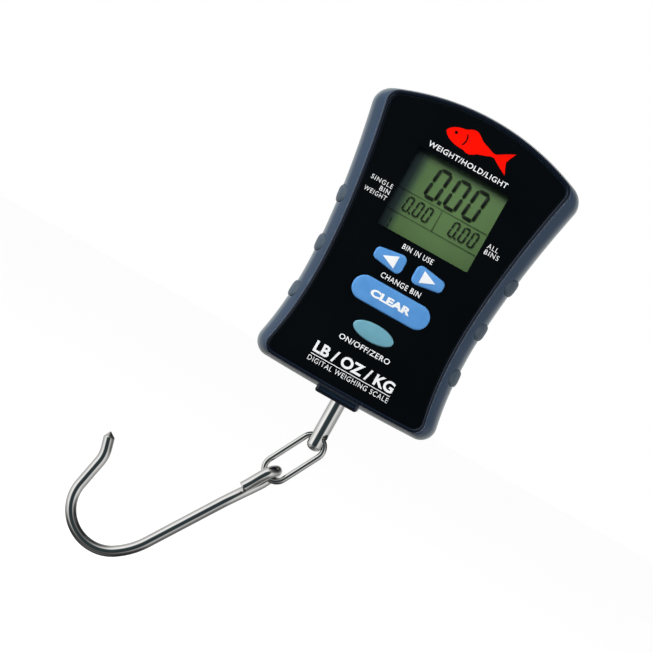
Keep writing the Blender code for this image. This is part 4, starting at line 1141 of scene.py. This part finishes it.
def key_cap(name, key_outline, centre, look, slot, crown):
    """A soft key: rounded rim, domed top, and the flange and stem behind the face."""
    face = node_box(f"key_{name}")[0].y
    shape = key_outline()
    rings = [[(x, y, z) for x, z in shape] for y in (-26.4, face + KEY_SHOULDER)]
    for k in range(1, 7):
        angle = math.pi / 2 * k / 6
        y = face + KEY_SHOULDER - KEY_EASE * math.sin(angle)
        rings.append([(x, y, z) for x, z in inset(shape, KEY_EASE * (1 - math.cos(angle)))])
    rim = [(x, z) for x, _, z in rings[-1]]
    DOMES[name] = (face + KEY_RIM, crown, Vector(centre), [Vector(spot) for spot in rim])
    mid_x, mid_z = centre
    for k in range(1, 10):
        share = k / 10
        y = face + KEY_RIM - crown * (1 - (1 - share) ** 2)
        rings.append([(mid_x + (x - mid_x) * (1 - share), y, mid_z + (z - mid_z) * (1 - share))
                      for x, z in rim])
    place(f"cap_{name}", loft(rings), look, 50, f"{name}_key", f"key_{name}", [
        (ADD, prism(key_outline(0.9), -26.9, -26.0)),
        (ADD, rods([centre], 1.9, (-26.5, -25.5), 28))])


def cross_product(first, second):
    return first.x * second.y - first.y * second.x


def dome_y(name, x, z):
    """The front surface of a key at (x, z)."""
    rim_y, crown, centre, rim = DOMES[name]
    away = Vector((x, z)) - centre
    if away.length < 1e-6:
        return rim_y - crown
    share = 0.0
    for start, end in zip(rim, rim[1:] + rim[:1]):
        start, end = start - centre, end - centre
        edge = end - start
        cross = cross_product(away, edge)
        if abs(cross) < 1e-12:
            continue
        reach = cross_product(start, edge) / cross
        along_edge = cross_product(start, away) / cross
        if reach > 0 and -1e-9 <= along_edge <= 1 + 1e-9:
            share = 1 / reach
            break
    return rim_y - crown * (1 - min(1.0, share) ** 2)


def arrow_print(side, name, steps=12):
    """A white triangle that follows the dome of its key."""
    corners = [(side * x, z + ARROW_Z) for x, z in ((5.35, -2.5), (11.0, 0.0), (5.35, 2.5))]
    mid_x, mid_z = (sum(parts) / 3 for parts in zip(*corners))
    rim = []
    for (x, z), (next_x, next_z) in zip(corners, corners[1:] + corners[:1]):
        rim += [(x + (next_x - x) * k / steps, z + (next_z - z) * k / steps)
                for k in range(steps)]
    rings = []
    # (share drawn in to the middle, lift off the key)
    for share, lift in ((0, -0.12), (0, 0.04), (0.2, 0.045), (0.45, 0.045), (0.7, 0.045),
                        (0.93, 0.045)):
        drawn = [(x + (mid_x - x) * share, z + (mid_z - z) * share) for x, z in rim]
        rings.append([(x, dome_y(name, x, z) - lift, z) for x, z in drawn])
    place(f"print_arrow_{name}", loft(rings), print_white, 30, f"{name}_key")


def clear_print():
    obj = lettering("print_clear", "CLEAR", (0, DELETE_Z), (16.6, 2.9), 0.05,
                    body="delete_key", y=0.0, thick=0.12)
    for vert in obj.data.vertices:
        vert.co.y += (dome_y("delete", vert.co.x / MM, vert.co.z / MM) + 0.08) * MM


for name, key in KEYS.items():
    key_cap(name, *key)
arrow_print(-1, "left")
arrow_print(1, "right")
clear_print()

# ---- case screws ------------------------------------------------------------------
SCREW_TURNS = (17, 62, 41, 8)  # degrees the cross of each head is turned
SCREW_HEAD = [(1.2, -8.4), (1.45, -7.9), (2.7, -7.6), (2.7, -6.9), (2.55, -6.45), (2.2, -6.05),
              (1.6, -5.72), (0.8, -5.6)]  # (radius, y)
CROSS = ((-0.42, -1.5), (0.42, -1.5), (0.42, -0.42), (1.5, -0.42), (1.5, 0.42), (0.42, 0.42),
         (0.42, 1.5), (-0.42, 1.5), (-0.42, 0.42), (-1.5, 0.42), (-1.5, -0.42), (-0.42, -0.42))


def case_screw(number, x, z, turn):
    start = node_box(f"case_screw_{number}")[0].y
    profile = [(0.5, start), (1.4, start + 1.1), (1.45, start + 1.5)]
    y = start + 1.9
    while y < -9.4:
        profile += [(1.5, y), (1.16, y + 0.3), (1.16, y + 0.42), (1.5, y + 0.7)]
        y += 0.8
    cos, sin = math.cos(turn), math.sin(turn)
    cross = [(right * cos - up * sin, right * sin + up * cos) for right, up in CROSS]
    recess = loft([[(x + right * scale, y, z + up * scale) for right, up in cross]
                   for y, scale in ((-7.0, 0.55), (-5.2, 1.05))])
    place(f"fine_case_screw_{number}", turned(profile + SCREW_HEAD, (x, 0, z), "Y", 40), zinc,
          40, replaces=f"case_screw_{number}", tools=[(CUT, recess)])


for i, ((x, z), degrees) in enumerate(zip(CASE_SCREWS, SCREW_TURNS), 1):
    case_screw(i, x, z, math.radians(degrees))

# ---- rod collar -------------------------------------------------------------------


def rim_prism(shape, levels):
    """An anticlockwise (x, y) outline lofted through (z, drawn in) levels."""
    return loft([[(x, y, z) for x, y in (inset(shape, drawn) if drawn else shape)]
                 for z, drawn in levels])


def rod_collar():
    """Block in the boss, with an inner flange and a bore for the rod."""
    low = node_box("rod_collar")[0].z
    block = rounded(14.6, 12.4, 0.8, 0, -12.5, 5)
    flange = rounded(18.8, 14.2, 1.0, 0, -13.1, 5)
    bore = [(ROD_R + 0.85, -63), (ROD_R + 0.85, low), (ROD_R + 0.35, low + 0.5),
            (ROD_R + 0.35, -52)]
    place("rod_bush", rim_prism(block, ((low, 0.3), (low + 0.3, 0), (-54.2, 0))),
          black_plastic, 40, replaces="rod_collar", tools=[
              (ADD, rim_prism(flange, ((-54.7, 0), (-53.3, 0)))),
              (CUT, turned(bore, (LOAD_X, LOAD_Y, 0), "Z", 64))])


rod_collar()

# ---- draw rod, link and hook ------------------------------------------------------
ROD_LOW, ROD_HIGH = node_box("eye_rod")
ROD_DOME = 2.2


def along_uv(obj, path):
    """Wire coordinates for the draw marks: v runs along the path in metres, u around it."""
    path = [Vector(point) * MM for point in path]
    lengths = [0.0]
    for start, end in zip(path, path[1:]):
        lengths.append(lengths[-1] + (end - start).length)
    tree = KDTree(len(path))
    for i, point in enumerate(path):
        tree.insert(point, i)
    tree.balance()
    mesh = obj.data
    layer = mesh.uv_layers.new(name="along")
    for face in mesh.polygons:
        for loop in face.loop_indices:
            spot = mesh.vertices[mesh.loops[loop].vertex_index].co
            _, i, _ = tree.find(spot)
            tangent = (path[min(i + 1, len(path) - 1)] - path[max(i - 1, 0)]).normalized()
            away = spot - path[i]
            flat = away - tangent * away.dot(tangent)
            side = tangent.cross(Vector((0, 1, 0)))
            across = flat.dot(side) if side.length > 1e-6 else flat.x
            angle = abs(math.atan2(flat.y, across)) / math.pi
            layer.data[loop].uv = (angle, lengths[i] + away.dot(tangent))


def rod_profile():
    profile = [(2.5, ROD_HIGH.z), (ROD_R, ROD_HIGH.z - 0.5)]
    z = ROD_HIGH.z - 1.0
    while z > ROD_HIGH.z - 12.0:  # the thread that the nut runs on, inside the case
        profile += [(ROD_R, z), (ROD_R - 0.45, z - 0.4), (ROD_R - 0.45, z - 0.5),
                    (ROD_R, z - 0.9)]
        z -= 1.0
    profile += [(ROD_R - 0.03, -40.0), (ROD_R, -40.5), (ROD_R, -60.0),
                (ROD_R, ROD_LOW.z + ROD_DOME + 0.5)]
    for k in range(22):  # the rounded end, with a fine turned line near its start
        angle = math.radians(90 * k / 22)
        groove = 0.1 if k in (5, 6) else 0.0
        profile.append((ROD_R * math.cos(angle) - groove,
                        ROD_LOW.z + ROD_DOME * (1 - math.sin(angle)) + groove))
    return profile + [(0.12, ROD_LOW.z)]


def draw_rod():
    """The rod, with a curved hole for the link that flares out towards the front right."""
    hole = [(x, LINK_PIVOT.y, z)
            for x, z in ((LINK_PIVOT.x + LINK_ARC_R * math.cos(2 * math.pi * i / 120),
                          LINK_PIVOT.z + LINK_ARC_R * math.sin(2 * math.pi * i / 120))
                         for i in range(120))]
    slant = math.radians(35)
    mouth = [(LOAD_X + reach * math.cos(slant), LOAD_Y - reach * math.sin(slant), -74.75)
             for reach in (-0.6, 2.85, 3.4, 5.0)]
    obj = place("draw_rod_body", turned(rod_profile(), (LOAD_X, LOAD_Y, 0), "Z", 72), stainless,
                40, "draw_rod", "eye_rod", [
                    (CUT, swept(hole, 1.55, 40, closed=True)),
                    (CUT, swept(mouth, (1.6, 1.6, 1.95, 2.2), 48))])
    along_uv(obj, [(LOAD_X, LOAD_Y, ROD_HIGH.z - i * 0.5) for i in range(121)])


def wire_link():
    """An oval ring of wire around the link and hook pivots."""
    down = (HOOK_PIVOT - LINK_PIVOT).normalized()
    across = Vector((-down.z, 0, down.x))
    oval = []
    for centre, other, start, side in ((LINK_PIVOT, HOOK_PIVOT, 0, -1),
                                       (HOOK_PIVOT, LINK_PIVOT, 180, 1)):
        for i in range(41):
            angle = math.radians(start + 180 * i / 40)
            oval.append(centre + across * (LINK_ARC_R * math.cos(angle))
                        - down * (LINK_ARC_R * math.sin(angle)))
        first, last = oval[-1], other + across * (LINK_ARC_R * side)
        oval += [first + (last - first) * k / 12 for k in range(1, 12)]
    obj = place("wire_link", swept(oval, LINK_WIRE_R, 28, closed=True), stainless, 60,
                "link", "link")
    along_uv(obj, oval)


EYE_DOWN, EYE_END = 4.04, 14.1  # eye centre and cut wire end, down the shank from the pivot
# Runs of wire from the shank to the point: length, turn in degrees, steps.
HOOK_RUNS = ((31.89, 0, 24), (12.64, 23.9, 14), (18.2, 67.4, 36), (17.85, 67.4, 36),
             (10.77, 0, 10), (5.6, -26.7, 14), (4.2, 0, 6))
# The ground point, a short cone: distance past the last run, radius.
HOOK_TIP = ((0.12, 2.17), (0.28, 2.05), (0.5, 1.86), (0.8, 1.58), (1.1, 1.29), (1.4, 1.0),
            (1.7, 0.72), (1.95, 0.5), (2.12, 0.34), (2.24, 0.2))


def hook_wire():
    """(down the shank, towards the open side, y) of the wire, and its radii."""
    points = []
    for i in range(17):
        down = EYE_END + (EYE_DOWN - EYE_END) * i / 16
        share = ease((down - EYE_DOWN) / (EYE_END - EYE_DOWN))
        points.append((down, 0.1 - 0.5 * share, -HOOK_EYE_R + 0.8 * share))
    for i in range(1, 32):
        share = i / 32
        angle = math.radians(-90 + 180 * share)
        points.append((EYE_DOWN - HOOK_EYE_R * math.cos(angle),
                       0.1 - share - 0.75 * share * share, HOOK_EYE_R * math.sin(angle)))
    for i in range(33):
        share = ease(i / 32)
        out = -2.17 + 0.2 * share + 0.52 * max(0.0, 1 - i / 8) ** 2
        points.append((EYE_DOWN + 19.35 * i / 32, out, HOOK_EYE_R * (1 - share)))
    down, out, _ = points[-1]
    heading = math.radians(-1.19)
    for length, turn, count in HOOK_RUNS:
        for _ in range(count):
            heading += math.radians(turn / count) / 2
            down += length / count * math.cos(heading)
            out += length / count * math.sin(heading)
            heading += math.radians(turn / count) / 2
            points.append((down, out, 0.0))
    radii = [HOOK_WIRE_R] * len(points)
    for reach, radius in HOOK_TIP:
        points.append((down + reach * math.cos(heading), out + reach * math.sin(heading), 0.0))
        radii.append(radius)
    return points, radii


def wire_hook():
    lean = math.radians(HOOK_TILT)
    along = Vector((-math.sin(lean), 0, -math.cos(lean)))
    open_side = Vector((-math.cos(lean), 0, math.sin(lean)))
    wire, radii = hook_wire()
    path = [HOOK_PIVOT + along * down + open_side * out + Vector((0, y, 0))
            for down, out, y in wire]
    # The wire's cut end is square, with its edge just broken.
    path = [path[0] + (path[0] - path[1]).normalized() * 0.12] + path
    radii = [HOOK_WIRE_R - 0.14] + radii
    obj = place("wire_hook", swept(path, radii, 36), stainless, 50, "hook", "hook")
    along_uv(obj, path)


draw_rod()
wire_link()
wire_hook()

# ---- cells and springs in the battery bay -----------------------------------------
CELL_Y, CELL_R = -7.6, 5.15
# (radius, x) of a cell from its flat end to its button.
CELL_PROFILE = (
    (2.0, -19.72), (3.2, -19.72), (3.6, -19.5), (4.4, -19.5), (4.75, -19.7), (4.95, -19.55),
    (CELL_R, -19.2), (CELL_R, 22.9), (5.05, 23.3), (4.75, 23.55), (4.3, 23.45), (3.9, 23.2),
    (2.3, 23.2), (2.0, 23.35), (1.9, 23.6), (1.9, 24.4), (1.75, 24.62), (1.3, 24.7))
COIL_TURNS, COIL_STEPS = 3.5, 40


def cell_and_spring(level, sign, z):
    """A cell with its button towards sign X, and the conical spring at its flat end."""
    profile = [(radius, sign * x) for radius, x in CELL_PROFILE]
    place(f"fine_battery_{level}", turned(profile, (0, CELL_Y, z), "X", 64), cell_wrap, 40,
          replaces=f"battery_{level}")
    coil = []
    for i in range(int(COIL_TURNS * COIL_STEPS) + 1):
        share = i / (COIL_TURNS * COIL_STEPS)
        radius = 3.7 - 1.2 * share
        angle = 2 * math.pi * COIL_TURNS * share
        coil.append((-sign * (24.9 - 4.5 * share), CELL_Y + radius * math.cos(angle),
                     z + radius * math.sin(angle)))
    place(f"fine_spring_{level}", swept(coil, 0.38, 12), nickel, 60,
          replaces=f"battery_spring_{level}")


cell_and_spring("upper", 1, 35.0)
cell_and_spring("lower", -1, 23.2)

# ---- carried-over nodes get their finish ------------------------------------------
FINISH = {
    "grip_rubber": cord_rubber, "black_plastic": black_plastic, "board": board_look,
    "gauge_film": film_look, "cell_alloy": alloy, "zinc_plate": zinc, "cell_wrap": cell_wrap,
    "contact_steel": nickel, "red_wire": red_wire, "grey_wire": grey_wire,
    "light_guide": diffuser}
SLOTS = {part["node"]: part["material_slot"] for part in frame["record"]["subparts"]}
for name, obj in frame["nodes"].items():
    if obj.hide_render:
        continue
    look = chip_plastic if name == "main_chip" else FINISH.get(SLOTS[name])
    if look is None:
        raise RuntimeError(f"no finish for {name} in slot {SLOTS[name]}")
    obj.data.materials.clear()
    obj.data.materials.append(look.owner)

# ---- floor, in metres -------------------------------------------------------------
scene = bpy.context.scene
scene.view_settings.view_transform = "Standard"
scene.view_settings.look = "None"
FLOOR_Z = CAD_BOX[0][2] - 0.026  # clear of the hook hanging straight down
FLOOR_SIZE = 14.0
FLOOR_STEPS = 48


def stage_floor():
    """A pale glowing floor that only the camera sees."""
    solid = bmesh.new()
    row = FLOOR_STEPS + 1
    for i in range(row):
        for j in range(row):
            solid.verts.new(((i / FLOOR_STEPS - 0.5) * FLOOR_SIZE,
                             (j / FLOOR_STEPS - 0.5) * FLOOR_SIZE + 3.0, FLOOR_Z))
    solid.verts.ensure_lookup_table()
    for i in range(FLOOR_STEPS):
        for j in range(FLOOR_STEPS):
            at = i * row + j
            solid.faces.new([solid.verts[k] for k in (at, at + row, at + row + 1, at + 1)])
    mesh = bpy.data.meshes.new("floor")
    solid.to_mesh(mesh)
    solid.free()
    floor = add_object("floor", mesh)
    pale = moulded("floor_look", (0.5, 0.5, 0.5), 0.9, grain=60, depth=0.0002, strength=0.05,
                   vary=0.01, cloud=6)
    pale.surface({"Specular IOR Level": 0.0, "Emission Color": (1, 1, 1, 1),
                  "Emission Strength": 0.86})
    mesh.materials.append(pale.owner)
    floor.visible_glossy = False
    floor.visible_diffuse = False
    floor.visible_shadow = False


stage_floor()

# ---- world ------------------------------------------------------------------------
# The camera sees plain white. Everything else sees a soft room around the line from the
# camera to the object: dim close to the camera, bright to the sides, and dimmer again
# behind, so that round wire keeps its edges. Stops are (direction component, level).
AROUND = ((-1.0, (0.030, 0.046, 0.052)), (-0.91, (0.036, 0.052, 0.056)), (-0.84, 0.16),
          (-0.72, 0.98), (-0.45, 1.0), (-0.1, 0.70), (0.3, 0.52), (0.5, 0.40), (0.8, 0.70),
          (1.0, 0.95))
ACROSS = ((-1.0, 1.0), (-0.2, 1.0), (0.3, 0.85), (1.0, 0.72))
BELOW = ((-1.0, 0.16), (-0.84, 0.05), (-0.70, 0.09), (-0.47, 0.62), (-0.3, 0.9), (0.0, 1.0))
ABOVE = ((0.0, 1.0), (0.36, 1.0), (0.46, 0.84), (0.63, 0.36), (0.70, 0.2), (0.84, 0.07),
         (1.0, 0.06))
ABOVE_DIRECTION = (0.45, 0.0, 0.89)
# Little light falls straight down or straight up on matt surfaces.
MATT_FILL = ((-1.0, 0.05), (-0.5, 0.6), (0.0, 1.15), (0.5, 1.0), (1.0, 0.25))


def studio_world():
    scene.world = bpy.data.worlds.new("studio")
    room = Graph(scene.world)
    room.nodes.clear()
    direction = room.node("TexCoord").outputs["Generated"]
    parts = room.node("SeparateXYZ", {0: direction}).outputs
    slanted = room.node("VectorMath", {0: direction, 1: ABOVE_DIRECTION},
                        operation="DOT_PRODUCT")

    def band(source, stops):
        """A level from a direction component, -1 to 1."""
        shift = room.node("MapRange", {"From Min": -1.0, "From Max": 1.0, "Value": source})
        stops = [((at + 1) / 2, level) for at, level in stops]
        return room.ramp(shift.outputs["Result"], stops, "EASE")

    def times(first, second):
        return room.mix(1.0, first, second, "MULTIPLY")

    sides = times(band(parts["Y"], AROUND), band(parts["X"], ACROSS))
    ends = times(band(parts["Z"], BELOW), band(slanted.outputs["Value"], ABOVE))
    ray = room.node("LightPath").outputs
    matt = room.mix(ray["Is Diffuse Ray"], (1, 1, 1, 1), band(parts["Z"], MATT_FILL))
    light = room.node("Background", {"Color": times(times(sides, ends), matt), "Strength": 1.0})
    seen = room.node("Background", {"Color": (1, 1, 1, 1), "Strength": 1.0})
    mixed = room.node("MixShader", {
        "Fac": ray["Is Camera Ray"], 1: light.outputs[0], 2: seen.outputs[0]})
    room.node("OutputWorld", {"Surface": mixed.outputs[0]})


studio_world()

# ---- lights and camera, in metres -------------------------------------------------
LIT_POINT = Vector((0.0, -0.015, -0.02))
# name, place, (width, height), watts, colour
LIGHTS = (
    ("key_left", (-1.02, -0.20, 0.22), (0.34, 0.7), 14.0, (0.96, 0.985, 1.0)),
    ("key_right", (1.02, -0.16, -0.10), (0.34, 0.7), 9.0, (0.97, 0.99, 1.0)),
    ("front_soft", (-0.25, -1.0, 0.55), (0.5, 0.4), 8.5, (1, 1, 1)),
)
for name, where, (width, height), watts, color in LIGHTS:
    data = bpy.data.lights.new(name, "AREA")
    data.shape = "RECTANGLE"
    data.size, data.size_y = width, height
    data.energy = watts
    data.color = color
    light = add_object(name, data)
    light.location = where
    light.rotation_euler = (LIT_POINT - Vector(where)).to_track_quat("-Z", "Y").to_euler()
    light.visible_camera = False
    light.visible_glossy = False

FRAME_WIDTH = 0.2412  # width of the view at the aim
AIM = Vector((-0.0169, -0.020, -0.0380))
TURN, ROLL = math.radians(2.3), math.radians(29.35)
camera_data = bpy.data.cameras.new("camera")
camera_data.lens = 200.0
camera_data.sensor_width = 36.0
camera_data.clip_end = 50.0
camera = add_object("camera", camera_data)
facing = Matrix.Rotation(TURN, 3, "Z") @ Matrix.Rotation(math.radians(90), 3, "X")
camera.rotation_euler = (facing @ Matrix.Rotation(ROLL, 3, "Z")).to_euler()
distance = FRAME_WIDTH * camera_data.lens / camera_data.sensor_width
camera.location = AIM + (facing @ Vector((0, 0, 1))) * distance
scene.camera = camera
